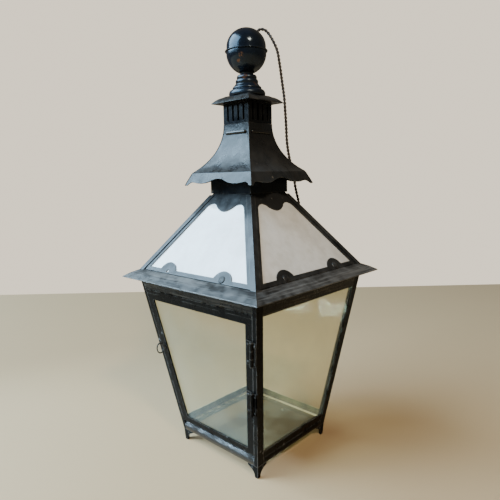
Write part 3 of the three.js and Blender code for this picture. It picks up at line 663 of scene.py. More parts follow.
class Finishes:
    """Every material of the lantern, made once."""

    def __init__(self) -> None:
        """Makes the materials."""
        # the case's bare edges are strong, to paint bright edge highlights as well as wear
        case = BlackPaint(
            "case_black", deep=(0.001, 0.0011, 0.0014), worn=(0.0038, 0.0036, 0.0032), roughness=0.28,
            dustiness=0.06, rubbing=1.0, gloss=0.05
        )
        trim = replace(case, rubbing=0.7)
        # copper spots on the ball paint the floor's reflected glints as well as wear
        glints = (((0.0166, -0.0314, 0.7471), 0.0068), ((0.0092, -0.0305, 0.7385), 0.0058))
        top_ring = (((0.0088, -0.017, 0.7145), 0.0085),)
        self.case = case.material()
        self.rail = replace(trim, name="rail_black", roughness=0.18, brushing=0.00004, gloss=0.45).material()
        # the head rails' brown brush strokes are a painted reflection of the floor
        self.head = replace(
            trim, name="head_sheen_black", dust=(0.052, 0.043, 0.033), gloss=0.12, along=(14.0, 14.0, 380.0),
            streaks=0.75
        ).material()
        # the pale dust on the bottom rails' inner faces is partly a painted reflection
        self.ledge = replace(
            trim, name="ledge_black", dust=(0.66, 0.58, 0.39), roughness=0.5, dustiness=2.0
        ).material()
        self.fittings = BlackPaint("fitting_black", roughness=0.4, rubbing=0.9).material()
        self.hood = BlackPaint(
            "hood_black", worn=(0.007, 0.0105, 0.0145), dust=(0.15, 0.138, 0.12), roughness=0.28,
            dustiness=0.24, brushing=0.00026, gloss=0.3
        ).material()
        # a darker copy of the hood's paint; on the neck it is painted shade under the hood
        self.vent = BlackPaint(
            "vent_black", worn=(0.003, 0.006, 0.0105), roughness=0.27, dustiness=0.08, rubbing=0.3, gloss=0.1
        ).material()
        # the roof frames are painted darker towards their tops, as shade under the hood
        self.roof = BlackPaint(
            "roof_black", worn=(0.011, 0.0135, 0.016), dust=(0.14, 0.15, 0.155), dustiness=0.32, gloss=0.36,
            soot=(0.445, 0.487)
        ).material()
        self.cornice = BlackPaint(
            "cornice_black", worn=(0.013, 0.0135, 0.013), dust=(0.2, 0.195, 0.185), dustiness=0.5, gloss=0.7,
            along=(9.0, 9.0, 330.0), streaks=0.38
        ).material()
        self.ball = BallEnamel("ball_enamel", rubbed=glints).material()
        self.turned = BallEnamel(
            "turned_enamel", wear=0.6, roughness=0.24, gloss=0.4, rubbed=top_ring
        ).material()
        self.brass = BareMetal("aged_brass", (0.46, 0.31, 0.12), (0.16, 0.11, 0.055)).material()
        self.copper = BareMetal("bare_copper", (0.72, 0.34, 0.19), (0.4, 0.17, 0.09), 0.22).material()
        self.plated = BareMetal("plated_steel", (0.5, 0.5, 0.49), (0.24, 0.235, 0.22)).material()
        self.resin = Moulded("dark_resin", (0.016, 0.01, 0.007), (0.04, 0.026, 0.018), 0.24).material()
        self.rubber = Moulded("black_rubber", (0.008, 0.008, 0.008), (0.02, 0.02, 0.02), 0.55).material()
        self.braid = Braid("flex_braid").material()
        self.clear = ClearGlass("clear_glass").material()
        self.base = ClearGlass("base_glass", (0.57, 0.52, 0.38), (0.32, 0.3, 0.22), 0.34).material()
        self.opal = OpalGlass("opal_glass").material()


# Shapes


def dress(material: Material, *nodes: str) -> None:
    """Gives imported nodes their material.

    Args:
        material: the finish.
        nodes: the nodes' names.
    """
    for node in nodes:
        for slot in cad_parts[node].material_slots:
            slot.material = material


def as_object(name: str, mesh: Mesh, material: Material) -> Piece:
    """Puts a mesh in the scene as a piece.

    Args:
        name: the piece's name.
        mesh: its mesh, in the lantern's frame.
        material: its finish.

    Returns:
        The piece.
    """
    mesh.materials.clear()
    mesh.materials.append(material)
    piece = bpy.data.objects.new(name, mesh)
    bpy.context.scene.collection.objects.link(piece)
    return piece


def mesh_of(name: str, points: Sequence[Sequence[float]], faces: Sequence[Sequence[int]]) -> Mesh:
    """Makes a smooth mesh from points and faces.

    Args:
        name: the mesh's name.
        points: the vertices, in metres.
        faces: the faces, as vertex numbers.

    Returns:
        The mesh.
    """
    mesh = bpy.data.meshes.new(name)
    mesh.from_pydata([tuple(p) for p in points], [], [tuple(f) for f in faces])
    mesh.polygons.foreach_set("use_smooth", [True] * len(mesh.polygons))
    mesh.update()
    return mesh


def mesh_from(name: str, shape: bmesh.types.BMesh, smooth: bool = False) -> Mesh:
    """Ends a shape as a mesh.

    Args:
        name: the mesh's name.
        shape: the shape, which is freed.
        smooth: True to shade all of it smooth.

    Returns:
        The mesh.
    """
    for face in shape.faces:
        face.smooth = face.smooth or smooth
    mesh = bpy.data.meshes.new(name)
    shape.to_mesh(mesh)
    shape.free()
    return mesh


def crease(shape: bmesh.types.BMesh, angle: float) -> None:
    """Turns a shape's faces out and keeps its sharp edges sharp.

    Args:
        shape: the shape.
        angle: edges that turn further than this, in degrees, stay sharp.
    """
    bmesh.ops.recalc_face_normals(shape, faces=shape.faces)
    for edge in shape.edges:
        edge.smooth = len(edge.link_faces) == 2 and edge.calc_face_angle(0.0) < math.radians(angle)


def settle(mesh: Mesh, angle: float = 32.0) -> Mesh:
    """Merges a mesh's doubles, turns its faces out and keeps its sharp edges sharp.

    Args:
        mesh: a closed mesh.
        angle: edges that turn further than this, in degrees, stay sharp.

    Returns:
        The same mesh.
    """
    shape = bmesh.new()
    shape.from_mesh(mesh)
    bmesh.ops.remove_doubles(shape, verts=shape.verts, dist=DOUBLE)
    bmesh.ops.dissolve_degenerate(shape, edges=shape.edges, dist=DOUBLE / 10)
    crease(shape, angle)
    shape.to_mesh(mesh)
    shape.free()
    return mesh


def keep_modifiers(piece: Piece) -> None:
    """Makes a piece's modifiers part of its mesh.

    Args:
        piece: the piece.
    """
    graph = bpy.context.evaluated_depsgraph_get()
    finished = bpy.data.meshes.new_from_object(piece.evaluated_get(graph))
    piece.modifiers.clear()
    piece.data = finished


def turned(name: str, outline: Profile, sides: int = 72) -> Mesh:
    """Turns a closed outline about the upright axis.

    Args:
        name: the mesh's name.
        outline: [radius, height] points in metres, round the section.
        sides: how many steps a turn has.

    Returns:
        The mesh.
    """
    points = []
    for step in range(sides):
        angle = 2 * math.pi * step / sides
        points += [(r * math.cos(angle), r * math.sin(angle), z) for r, z in outline]
    count = len(outline)
    faces = []
    for step in range(sides):
        here, there = step * count, ((step + 1) % sides) * count
        for i in range(count):
            j = (i + 1) % count
            faces.append((here + i, there + i, there + j, here + j))
    return settle(mesh_of(name, points, faces))


def curve_through(points: Sequence[Point], spacing: float) -> list[Vector]:
    """Runs one smooth line through points.

    Args:
        points: the points that it passes.
        spacing: the distance between the points that it returns.

    Returns:
        Points along the line.
    """
    knots = [Vector(p) for p in points]
    knots = [knots[0] * 2 - knots[1], *knots, knots[-1] * 2 - knots[-2]]
    line: list[Vector] = []
    for i in range(1, len(knots) - 2):
        p0, p1, p2, p3 = knots[i - 1 : i + 3]
        t0 = 0.0
        t1 = t0 + (p1 - p0).length ** 0.5
        t2 = t1 + (p2 - p1).length ** 0.5
        t3 = t2 + (p3 - p2).length ** 0.5
        steps = max(2, round((p2 - p1).length / spacing))
        for k in range(steps):
            t = t1 + (t2 - t1) * k / steps
            a1 = p0 * ((t1 - t) / (t1 - t0)) + p1 * ((t - t0) / (t1 - t0))
            a2 = p1 * ((t2 - t) / (t2 - t1)) + p2 * ((t - t1) / (t2 - t1))
            a3 = p2 * ((t3 - t) / (t3 - t2)) + p3 * ((t - t2) / (t3 - t2))
            b1 = a1 * ((t2 - t) / (t2 - t0)) + a2 * ((t - t0) / (t2 - t0))
            b2 = a2 * ((t3 - t) / (t3 - t1)) + a3 * ((t - t1) / (t3 - t1))
            line.append(b1 * ((t2 - t) / (t2 - t1)) + b2 * ((t - t1) / (t2 - t1)))
    line.append(knots[-2])
    return line


def carried_frames(line: Sequence[Vector]) -> list[tuple[Vector, Vector]]:
    """Carries two square directions along a line without twist.

    Args:
        line: the line's points.

    Returns:
        Two unit vectors across the line at each point.
    """
    frames = []
    run = (line[1] - line[0]).normalized()
    across = run.orthogonal().normalized()
    for i, here in enumerate(line):
        ahead = line[min(i + 1, len(line) - 1)]
        behind = line[max(i - 1, 0)]
        run = (ahead - behind).normalized()
        across = (across - run * across.dot(run)).normalized()
        frames.append((across, run.cross(across)))
    return frames


def distances(line: Sequence[Vector]) -> list[float]:
    """Returns how far along a line each of its points is."""
    return list(accumulate(((ahead - here).length for here, ahead in zip(line, line[1:])), initial=0.0))


@dataclass
class Strand:
    """A round tube that follows a line, with a UV map round it and along it."""

    radius: float
    sides: int = 8

    def build(self, name: str, line: Sequence[Vector]) -> Mesh:
        """Makes the tube.

        Args:
            name: the mesh's name.
            line: the points it follows.

        Returns:
            The mesh, closed at both ends.
        """
        points: list[Vector] = []
        reach = distances(line)
        for here, (across, up) in zip(line, carried_frames(line)):
            for k in range(self.sides):
                angle = 2 * math.pi * k / self.sides
                points.append(here + (across * math.cos(angle) + up * math.sin(angle)) * self.radius)
        faces, marks = [], []
        for i in range(len(line) - 1):
            for k in range(self.sides):
                j = (k + 1) % self.sides
                low, high = i * self.sides, (i + 1) * self.sides
                faces.append((low + k, low + j, high + j, high + k))
                u0, u1 = k / self.sides, (k + 1) / self.sides
                marks += [(u0, reach[i]), (u1, reach[i]), (u1, reach[i + 1]), (u0, reach[i + 1])]
        last = (len(line) - 1) * self.sides
        faces.append(tuple(reversed(range(self.sides))))
        faces.append(tuple(last + k for k in range(self.sides)))
        marks += [(0.0, 0.0)] * self.sides + [(0.0, reach[-1])] * self.sides
        mesh = mesh_of(name, points, faces)
        layer = mesh.uv_layers.new(name="along")
        for mark, loop in zip(marks, layer.data):
            loop.uv = mark
        return mesh


# Geometry Nodes


@dataclass
class Spot:
    """A place for a fastening, with the direction that it faces."""

    place: Vector
    facing: Vector


def spots_mesh(name: str, spots: Sequence[Spot]) -> Mesh:
    """Makes loose points with the direction that each faces.

    Args:
        name: the mesh's name.
        spots: the places.

    Returns:
        The mesh.
    """
    mesh = bpy.data.meshes.new(name)
    mesh.from_pydata([tuple(s.place) for s in spots], [], [])
    layer = mesh.attributes.new("facing", "FLOAT_VECTOR", "POINT")
    for spot, slot in zip(spots, layer.data):
        slot.vector = spot.facing
    return mesh


def wires_mesh(name: str, lines: Sequence[Sequence[Vector]]) -> Mesh:
    """Makes a mesh of edges that follow lines.

    Args:
        name: the mesh's name.
        lines: each line's points.

    Returns:
        The mesh.
    """
    points: list[tuple[float, ...]] = []
    edges: list[tuple[int, int]] = []
    for line in lines:
        first = len(points)
        points += [tuple(p) for p in line]
        edges += [(first + i, first + i + 1) for i in range(len(line) - 1)]
    mesh = bpy.data.meshes.new(name)
    mesh.from_pydata(points, edges, [])
    return mesh


class Growth(Graph):
    """A Geometry Nodes tree, built input by input and node by node."""

    def __init__(self, name: str) -> None:
        """Starts a tree with a geometry input and output.

        Args:
            name: the tree's name.
        """
        super().__init__(bpy.data.node_groups.new(name, "GeometryNodeTree"))
        self.sockets: dict[str, str] = {}
        for way in ("INPUT", "OUTPUT"):
            self.tree.interface.new_socket("Geometry", in_out=way, socket_type="NodeSocketGeometry")
        self.entry = self.node("NodeGroupInput", {}, {})

    def ask(self, name: str, kind: str, value: float | int | None = None) -> None:
        """Adds a named input.

        Args:
            name: the input's name.
            kind: its socket type.
            value: its default.
        """
        socket = self.tree.interface.new_socket(name, in_out="INPUT", socket_type=kind)
        if value is not None:
            socket.default_value = value
        self.sockets[name] = socket.identifier

    def given(self, name: str) -> Socket:
        """Returns the input of this name, to link from."""
        return self.entry.outputs[name]

    def vector(self, x: Socket | float, y: Socket | float, z: Socket | float) -> Socket:
        """Returns three numbers as one vector."""
        return self.out("ShaderNodeCombineXYZ", {}, {0: x, 1: y, 2: z})

    def close(self, geometry: Socket) -> None:
        """Ends the tree with real geometry in the asked material.

        Args:
            geometry: what the tree has made.
        """
        self.ask("Material", "NodeSocketMaterial")
        real = self.out("GeometryNodeRealizeInstances", {}, {0: geometry})
        inputs = {"Geometry": real, "Material": self.given("Material")}
        self.node("NodeGroupOutput", {}, {0: self.out("GeometryNodeSetMaterial", {}, inputs)})

    def grow(self, name: str, base: Mesh, values: dict[str, float], material: Material, body: Body) -> Piece:
        """Runs the tree on a mesh and keeps the result as a plain mesh.

        Args:
            name: the new piece's name.
            base: the mesh that the tree starts from.
            values: its inputs by name.
            material: the finish.
            body: the body that the piece rides on.

        Returns:
            The piece.
        """
        piece = as_object(name, base, material)
        modifier = piece.modifiers.new("grow", "NODES")
        modifier.node_group = self.tree
        for key, value in {**values, "Material": material}.items():
            modifier[self.sockets[key]] = value
        keep_modifiers(piece)
        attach(piece, body.value)
        return piece


class ScrewHeads(Growth):
    """Domed heads with a driver's slot, one on each point, turned at random."""

    slot_length = 3.0  # in the head's radii
    slot_level = 1.05  # in the head's heights

    def __init__(self) -> None:
        """Builds the tree."""
        super().__init__("screw_heads")
        self.ask("Head Radius", "NodeSocketFloat", 0.003)
        self.ask("Head Height", "NodeSocketFloat", 0.001)
        self.ask("Slot Width", "NodeSocketFloat", 0.0008)
        self.ask("Seed", "NodeSocketInt", 7)
        meshes = {"Mesh 1": self._dome(), "Mesh 2": self._cutter()}
        head = self.out("GeometryNodeMeshBoolean", {"operation": "DIFFERENCE"}, meshes)
        inputs = {"Points": self.given("Geometry"), "Instance": head, "Rotation": self._aim()}
        self.close(self.out("GeometryNodeInstanceOnPoints", {}, inputs))

    def _dome(self) -> Socket:
        """Makes the upper half of a flattened ball.

        Returns:
            Its mesh.
        """
        radius = self.given("Head Radius")
        size = self.vector(radius, radius, self.given("Head Height"))
        ball = self.out("GeometryNodeMeshUVSphere", {}, {"Segments": 20, "Rings": 12, "Radius": 1.0})
        dome = self.out("GeometryNodeTransform", {}, {"Geometry": ball, "Scale": size})
        place = self.out("GeometryNodeInputPosition", {}, {})
        axes = self.node("ShaderNodeSeparateXYZ", {}, {0: place}).outputs
        raised = self.out("ShaderNodeMath", {"operation": "MAXIMUM"}, {0: axes[2], 1: 0.0})
        seat = self.vector(axes[0], axes[1], raised)
        return self.out("GeometryNodeSetPosition", {}, {"Geometry": dome, "Position": seat})

    def _cutter(self) -> Socket:
        """Makes the block that cuts the slot.

        Returns:
            Its mesh.
        """
        times = {"operation": "MULTIPLY"}
        height = self.given("Head Height")
        length = self.out("ShaderNodeMath", times, {0: self.given("Head Radius"), 1: self.slot_length})
        lift = self.out("ShaderNodeMath", times, {0: height, 1: self.slot_level})
        size = self.vector(length, self.given("Slot Width"), height)
        block = self.out("GeometryNodeMeshCube", {}, {"Size": size})
        inputs = {"Geometry": block, "Translation": self.vector(0.0, 0.0, lift)}
        return self.out("GeometryNodeTransform", {}, inputs)

    def _aim(self) -> Socket:
        """Aims a head along its point's facing, turned at random about it.

        Returns:
            The rotation.
        """
        kind = {"data_type": "FLOAT_VECTOR"}
        facing = self.out("GeometryNodeInputNamedAttribute", kind, {"Name": "facing"})
        aimed = self.out("FunctionNodeAlignRotationToVector", {"axis": "Z"}, {"Vector": facing})
        limits = {2: 0.0, 3: math.pi, "Seed": self.given("Seed")}
        chance = self.out("FunctionNodeRandomValue", {"data_type": "FLOAT"}, limits, 1)
        turn = self.out("FunctionNodeEulerToRotation", {}, {0: self.vector(0.0, 0.0, chance)})
        return self.out("FunctionNodeRotateRotation", {"rotation_space": "LOCAL"}, {0: aimed, 1: turn})

    def fasten(
        self, name: str, spots: Sequence[Spot], head: Head, seed: int, material: Material,
        body: Body = Body.CASE
    ) -> Piece:
        """Sets a head on each place.

        Args:
            name: the new piece's name.
            spots: the places.
            head: the size of a head.
            seed: the seed of the heads' turns.
            material: the finish.
            body: the body that they ride on.

        Returns:
            The heads.
        """
        radius, height, slot = head
        values = {"Head Radius": radius, "Head Height": height, "Slot Width": slot, "Seed": seed}
        return self.grow(name, spots_mesh(name, spots), values, material, body)


class SolderSeams(Growth):
    """A run of solder along each edge of a wire mesh, slightly uneven."""

    step = 0.004  # the distance between its rings, in metres

    def __init__(self) -> None:
        """Builds the tree."""
        super().__init__("solder_seams")
        self.ask("Bead Radius", "NodeSocketFloat", 0.0009)
        self.ask("Step", "NodeSocketFloat", 0.004)
        self.ask("Waver", "NodeSocketFloat", 0.0003)
        line = self.out("GeometryNodeMeshToCurve", {}, {0: self.given("Geometry")})
        inputs = {"Curve": line, "Length": self.given("Step")}
        even = self.out("GeometryNodeResampleCurve", {"mode": "LENGTH"}, inputs)
        noise = self.out("ShaderNodeTexNoise", {}, {"Scale": 70.0, "Detail": 2.0}, "Color")
        ends = {0: noise, 1: (0.5, 0.5, 0.5)}
        middle = self.out("ShaderNodeVectorMath", {"operation": "SUBTRACT"}, ends)
        share = {0: middle, "Scale": self.given("Waver")}
        shift = self.out("ShaderNodeVectorMath", {"operation": "SCALE"}, share)
        moved = self.out("GeometryNodeSetPosition", {}, {"Geometry": even, "Offset": shift})
        around = {"Resolution": 8, "Radius": self.given("Bead Radius")}
        ring = self.out("GeometryNodeCurvePrimitiveCircle", {}, around)
        inputs = {"Curve": moved, "Profile Curve": ring, "Fill Caps": True}
        bead = self.out("GeometryNodeCurveToMesh", {}, inputs)
        self.close(self.out("GeometryNodeSetShadeSmooth", {}, {0: bead}))

    def run(
        self, name: str, lines: Sequence[Sequence[Vector]], material: Material, radius: float = 0.0008,
        waver: float = 0.0005
    ) -> Piece:
        """Runs solder along lines.

        Args:
            name: the new piece's name.
            lines: each line's points.
            material: the finish.
            radius: the run's radius.
            waver: how far it wanders.

        Returns:
            The runs.
        """
        values = {"Bead Radius": radius, "Step": self.step, "Waver": waver}
        return self.grow(name, wires_mesh(name, lines), values, material, Body.CASE)


# Sub-assemblies


def upper_shell() -> tuple[float, float, float]:
    """Measures the ball's upper shell.

    Returns:
        Its radius, its middle's level and its rise above that.
    """
    low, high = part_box("ball_upper")
    middle = low.z + RIM_LAP
    return high.x, middle, high.z - middle


@dataclass
class Part:
    """A sub-assembly, with the lantern's finishes."""

    finishes: Finishes


@dataclass
class Case(Part):
    """The tapered glazed case: posts, rails, feet and fixed panes."""

    foot_height: float = 0.0234
    base_half: float = 0.1023
    lean: float = 0.16024
    rivet: Head = (0.0021, 0.0011, 0.0)
    rivet_reach: float = 0.0135
    rivet_level: float = 0.0185
    foot_spread: float = 0.1007

    def half(self, z: float) -> float:
        """Returns half the case's outer width at a height."""
        return self.base_half + self.lean * (z - self.foot_height)

    def dress(self) -> None:
        """Gives the case's nodes their finishes."""
        looks = self.finishes
        for corner in CORNERS:
            dress(looks.case, f"corner_post_{corner}", f"foot_{corner}")
        for side in (Side.RIGHT, Side.BACK, Side.LEFT):
            # the back and left rails take pale dust that also paints a reflection
            dress(looks.case if side is Side.RIGHT else looks.ledge, f"bottom_rail_{side.word}")
            dress(looks.clear, f"side_glass_{side.word}")
        dress(looks.head, *(f"head_rail_{side.word}" for side in Side))
        dress(looks.rail, "door_sill")
        dress(looks.base, "base_glass")

    def rivets(self, heads: ScrewHeads) -> Piece:
        """Sets one rivet in each wing of the feet.

        Args:
            heads: the tree that makes the heads.

        Returns:
            The rivets.
        """
        level = self.rivet_level
        half = self.foot_spread + (self.base_half - self.foot_spread) * level / self.foot_height
        spots = []
        for side in Side:
            turn = side.turn()
            out = (turn @ Vector((1, 0, 0))).normalized()
            for way in (-1, 1):
                place = Vector((half, way * (half - self.rivet_reach), level))
                spots.append(Spot(turn @ place, out))
        return heads.fasten("foot_rivets", spots, self.rivet, 3, self.finishes.fittings)


@dataclass
class Door(Part):
    """The hinged door with its pane, hinges, loop pull and cam."""

    case: Case
    seam: float = 0.0084
    hinge_heights: tuple[float, float] = (0.252, 0.156)
    leaf_face: float = 0.0018
    screw: Head = (0.0021, 0.0008, 0.0006)
    screw_levels: tuple[float, ...] = (-0.0165, 0.0165)
    post_row: float = 0.0053
    door_row: float = -0.0088

    def dress(self) -> None:
        """Gives the door's nodes their finishes."""
        looks = self.finishes
        for place in ("upper", "lower"):
            dress(looks.case, *(f"hinge_{place}_{piece}" for piece in ("post_leaf", "door_leaf", "pin")))
        dress(looks.case, "door_frame", "latch_handle")
        dress(looks.clear, "door_glass")
        dress(looks.plated, "latch_cam")

    def hinge_frame(self, height: float) -> Matrix:
        """Gives a hinge's frame on the seam: X out of the face, Z along the seam.

        Args:
            height: the hinge's height.

        Returns:
            The frame as a matrix.
        """
        lean = self.case.lean
        tilt = math.atan(lean)
        out = Vector((math.cos(tilt), 0, -math.sin(tilt)))
        along = Vector((lean, lean, 1)).normalized()
        across = along.cross(out)
        half = self.case.half(height)
        turn = Matrix((out, across, along)).transposed().to_4x4()
        return Side.DOOR.turn() @ Matrix.Translation((half, half - self.seam, height)) @ turn

    def screws(self, heads: ScrewHeads) -> list[Piece]:
        """Sets the hinge screws, apart for the post's and the door's leaves.

        Args:
            heads: the tree that makes the heads.

        Returns:
            The two pieces.
        """
        pieces = []
        for seed, body, row in ((11, Body.CASE, self.post_row), (12, Body.DOOR, self.door_row)):
            spots = []
            for height in self.hinge_heights:
                place = self.hinge_frame(height)
                out = place.to_3x3() @ Vector((1, 0, 0))
                for level in self.screw_levels:
                    spots.append(Spot(place @ Vector((self.leaf_face, row, level)), out))
            name = f"hinge_screws_{body.value}"
            pieces.append(heads.fasten(name, spots, self.screw, seed, self.finishes.fittings, body))
        return pieces


@dataclass
class Roof(Part):
    """The cornice, the four glazed roof slopes and the hips between them."""

    eave_half: float = 0.1515
    foot: float = 0.360
    lean: float = 0.7115
    tab_offset: float = 0.072
    button: Head = (0.0068, 0.0021, 0.0011)
    button_rise: float = 0.00828
    rivet: Head = (0.0019, 0.0009, 0.0)
    rivet_rise: float = 0.163
    rivet_offsets: tuple[float, ...] = (-0.03, 0.0, 0.03)
    keyhole_side: Side = Side.DOOR
    lip_half: float = 0.178
    lip_level: float = 0.3464
    lip_wire: float = 0.0009
    lip_waver: float = 0.0001
    swell: tuple[float, float] = (0.001, 0.0003)  # the mitre's middle, out of and above a straight line

    def spot(self, side: Side, across: float, rise: float) -> Spot:
        """Finds a place on a slope.

        Args:
            side: which slope.
            across: the distance from its middle line.
            rise: the distance up the slope from the cornice.

        Returns:
            The place, facing out of the slope.
        """
        tilt = math.atan(self.lean)
        at = Matrix.Translation((self.eave_half, 0, self.foot)) @ Matrix.Rotation(-tilt, 4, "Y")
        place = side.turn() @ at @ Matrix.Translation((0, across, rise))
        return Spot(place.translation, place.to_3x3() @ Vector((1, 0, 0)))

    def dress(self) -> None:
        """Gives the roof's nodes their finishes."""
        looks = self.finishes
        dress(looks.cornice, "cornice")
        dress(looks.roof, *(f"roof_frame_{side.word}" for side in Side))
        dress(looks.roof, *(f"hip_bar_{corner}" for corner in CORNERS))
        dress(looks.opal, *(f"roof_pane_{side.word}" for side in Side))

    def buttons(self, heads: ScrewHeads) -> Piece:
        """Sets a round head on each tab, but for the tab whose hole is empty.

        Args:
            heads: the tree that makes the heads.

        Returns:
            The heads.
        """
        spots = [
            self.spot(side, way * self.tab_offset, self.button_rise)
            for side in Side
            for way in (-1, 1)
            if side is not self.keyhole_side or way > 0
        ]
        return heads.fasten("roof_buttons", spots, self.button, 5, self.finishes.roof)

    def rivets(self, heads: ScrewHeads) -> Piece:
        """Sets a row of small rivets along the head of each slope.

        Args:
            heads: the tree that makes the heads.

        Returns:
            The rivets.
        """
        spots = [self.spot(side, across, self.rivet_rise) for side in Side for across in self.rivet_offsets]
        return heads.fasten("roof_rivets", spots, self.rivet, 9, self.finishes.roof)

    def trim(self, solder: SolderSeams) -> list[Piece]:
        """Wires the cornice's lip and solders its four mitres.

        Args:
            solder: the tree that makes the runs.

        Returns:
            The lip's wire and the mitres' seams.
        """
        edge = self.lip_half - self.lip_wire
        ways = ((1, 1), (-1, 1), (-1, -1), (1, -1))
        corners = [Vector((x * edge, y * edge, self.lip_level)) for x, y in ways]
        lips, mitres = [], []
        middle_half = (self.eave_half + self.lip_half) / 2 + self.swell[0]
        middle_level = (self.foot + self.lip_level) / 2 + self.swell[1]
        for (x, y), here, ahead in zip(ways, corners, corners[1:] + corners[:1]):
            lips.append([here.lerp(ahead, k / 60) for k in range(61)])
            knee = Vector((x * middle_half, y * middle_half, middle_level))
            head = Vector((x * self.eave_half, y * self.eave_half, self.foot))
            lower = [here.lerp(knee, k / 6) for k in range(6)]
            mitres.append([*lower, *(knee.lerp(head, k / 6) for k in range(7))])
        finish = self.finishes.cornice
        return [
            solder.run("cornice_lip_wire", lips, finish, self.lip_wire, self.lip_waver),
            solder.run("cornice_mitre_seams", mitres, finish),
        ]


@dataclass
class Hood(Part):
    """The neck, the bell-shaped hood with its valance, the vent box and its cap."""

    top: float = 0.630
    top_half: float = 0.0317
    flare_radius: float = 0.110
    crease: float = 0.5416
    valance_half: float = 0.0865
    valance_bottom: float = 0.5193
    notch_rise: float = 0.0117
    lobe_rise: float = 0.0033
    dip_rise: float = 0.0057
    lobe_across: float = 0.044
    dip_across: float = 0.072
    ripple: float = 0.0008
    corner_width: float = 0.0055
    sheet: float = 0.0015
    dent: float = 0.0006
    rows: int = 40
    valance_rows: int = 8
    columns: int = 96
    bead_steps: int = 10
    bead_level: float = 0.614
    bead_half: float = 0.026
    bead_radius: float = 0.0035
    bead_sunk: float = 0.0004
    tube_radius: float = 0.0285
    tube_wall: float = 0.0008
    tube_foot: float = 0.0008  # its foot above the vent box's
    tube_head: float = 0.0025  # its head below the vent box's
    tube_bulge: float = 0.0006
    tube_roll: float = 0.0008  # half the height of the bulge round its head
    tube_squareness: float = 16.0
    strap: tuple[float, float] = (0.009, 0.0034)
    fit: float = 0.0002

    def dress(self) -> None:
        """Gives the hood's nodes their finishes."""
        dress(self.finishes.hood, "bell_hood", "vent_cap")
        # the neck takes the darker vent paint as painted shade under the hood
        dress(self.finishes.vent, "neck", "vent_box")

    def flare_half(self, z: float) -> float:
        """Returns half the flare's width at a height."""
        drop = self.top - z
        return self.top_half + self.flare_radius - math.sqrt(self.flare_radius**2 - drop**2)

    def flare(self, rise: float) -> tuple[float, float]:
        """Finds a row of the flare.

        Args:
            rise: the share of its rise.

        Returns:
            The flare's half width and its level there.
        """
        angle = math.asin((self.top - self.crease) / self.flare_radius) * (1 - rise)
        z = self.top - math.sin(angle) * self.flare_radius
        return self.flare_half(z), z

    def edge(self, across: float) -> float:
        """Returns the height of the valance's scalloped edge.

        Args:
            across: the distance from the side's middle line.

        Returns:
            The height.
        """
        u = min(abs(across), self.valance_half)
        for (a, low), (b, high) in zip(self.scallops, self.scallops[1:]):
            if u <= b:
                return low + (high - low) * (u - a) / (b - a)
        return self.valance_bottom

    @cached_property
    def scallops(self) -> Profile:
        """Draws one half of the scalloped edge.

        Returns:
            Points from the side's middle to its corner, as [across, height].
        """
        low = self.valance_bottom
        notch, lobe, dip = low + self.notch_rise, low + self.lobe_rise, low + self.dip_rise
        end = self.valance_half - self.corner_width
        near, far = self.lobe_across, self.dip_across
        # Each row is one curve: its start, its two handles and its end
        curves = (
            ((0.0, notch), (0.018, notch), (near - 0.018, lobe), (near, lobe)),
            ((near, lobe), (near + 0.014, lobe), (far - 0.01, dip), (far, dip)),
            ((far, dip), (end - 0.006, dip), (end - 0.003, dip - 0.001), (end, low + 0.001)),
        )
        points: Profile = []
        for curve in curves:
            for step in range(24):
                s = step / 24
                shares = ((1 - s) ** 3, 3 * s * (1 - s) ** 2, 3 * s * s * (1 - s), s**3)
                points.append(tuple(sum(w * c[k] for w, c in zip(shares, curve)) for k in (0, 1)))
        return [*points, (end, low + 0.001), (end + 0.0001, low), (self.valance_half, low)]

    def bell(self) -> Piece:
        """Makes the bell of thin sheet, slightly dented, with its scalloped valance.

        Returns:
            The bell.
        """
        shape = bmesh.new()
        chance = random.Random(4)
        bumps = [
            (chance.uniform(-1, 1), chance.uniform(0.1, 0.9), chance.uniform(0.2, 0.5)) for _ in range(12)
        ]
        shares = [2 * column / self.columns - 1 for column in range(self.columns + 1)]
        for side in Side:
            turn = side.turn()
            grid = [
                [shape.verts.new(turn @ self._skin(row, u, bumps)) for u in shares]
                for row in range(self.valance_rows + self.rows + 1)
            ]
            for low, high in zip(grid, grid[1:]):
                for i in range(self.columns):
                    shape.faces.new((low[i], low[i + 1], high[i + 1], high[i]))
        bmesh.ops.remove_doubles(shape, verts=shape.verts, dist=DOUBLE)
        crease(shape, 12.0)
        piece = as_object("bell_skin", mesh_from("bell_skin", shape, True), self.finishes.hood)
        wall = piece.modifiers.new("wall", "SOLIDIFY")
        wall.thickness = self.sheet
        wall.offset = -1.0
        wall.use_even_offset = True
        keep_modifiers(piece)
        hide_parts("bell_hood")
        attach(piece, Body.CASE.value)
        return piece

    def _skin(self, row: int, u: float, bumps: Sequence[Point]) -> Vector:
        """Finds a point of the bell's outer face on the +X side.

        Args:
            row: its row, from the scalloped edge up.
            u: its place across the side, from -1 to 1.
            bumps: the dents, each with its place across, its place up and its size.

        Returns:
            The point.
        """
        if row < self.valance_rows:
            crease_half = self.flare_half(self.crease)
            lean = (self.valance_half - crease_half) / (self.crease - self.valance_bottom)
            low = self.edge(u * self.valance_half)
            z = low + (self.crease - low) * row / self.valance_rows
            half = crease_half + lean * (self.crease - z)
            curl = self._ripple(u, z) * (1 - row / self.valance_rows)
        else:
            rise = (row - self.valance_rows) / self.rows
            half, z = self.flare(rise)
            curl = self._dent(u, rise, bumps) if rise > 0 else 0.0
        return Vector((half - curl, u * half, z))

    def _ripple(self, u: float, z: float) -> float:
        """Returns how far the valance's sheet is pushed in at a place."""
        wave = math.sin(u * 9 + 2) + 0.45 * math.sin(u * 19 + z * 60)
        return self.ripple * wave * min(1.0, (1 - abs(u)) * 6)

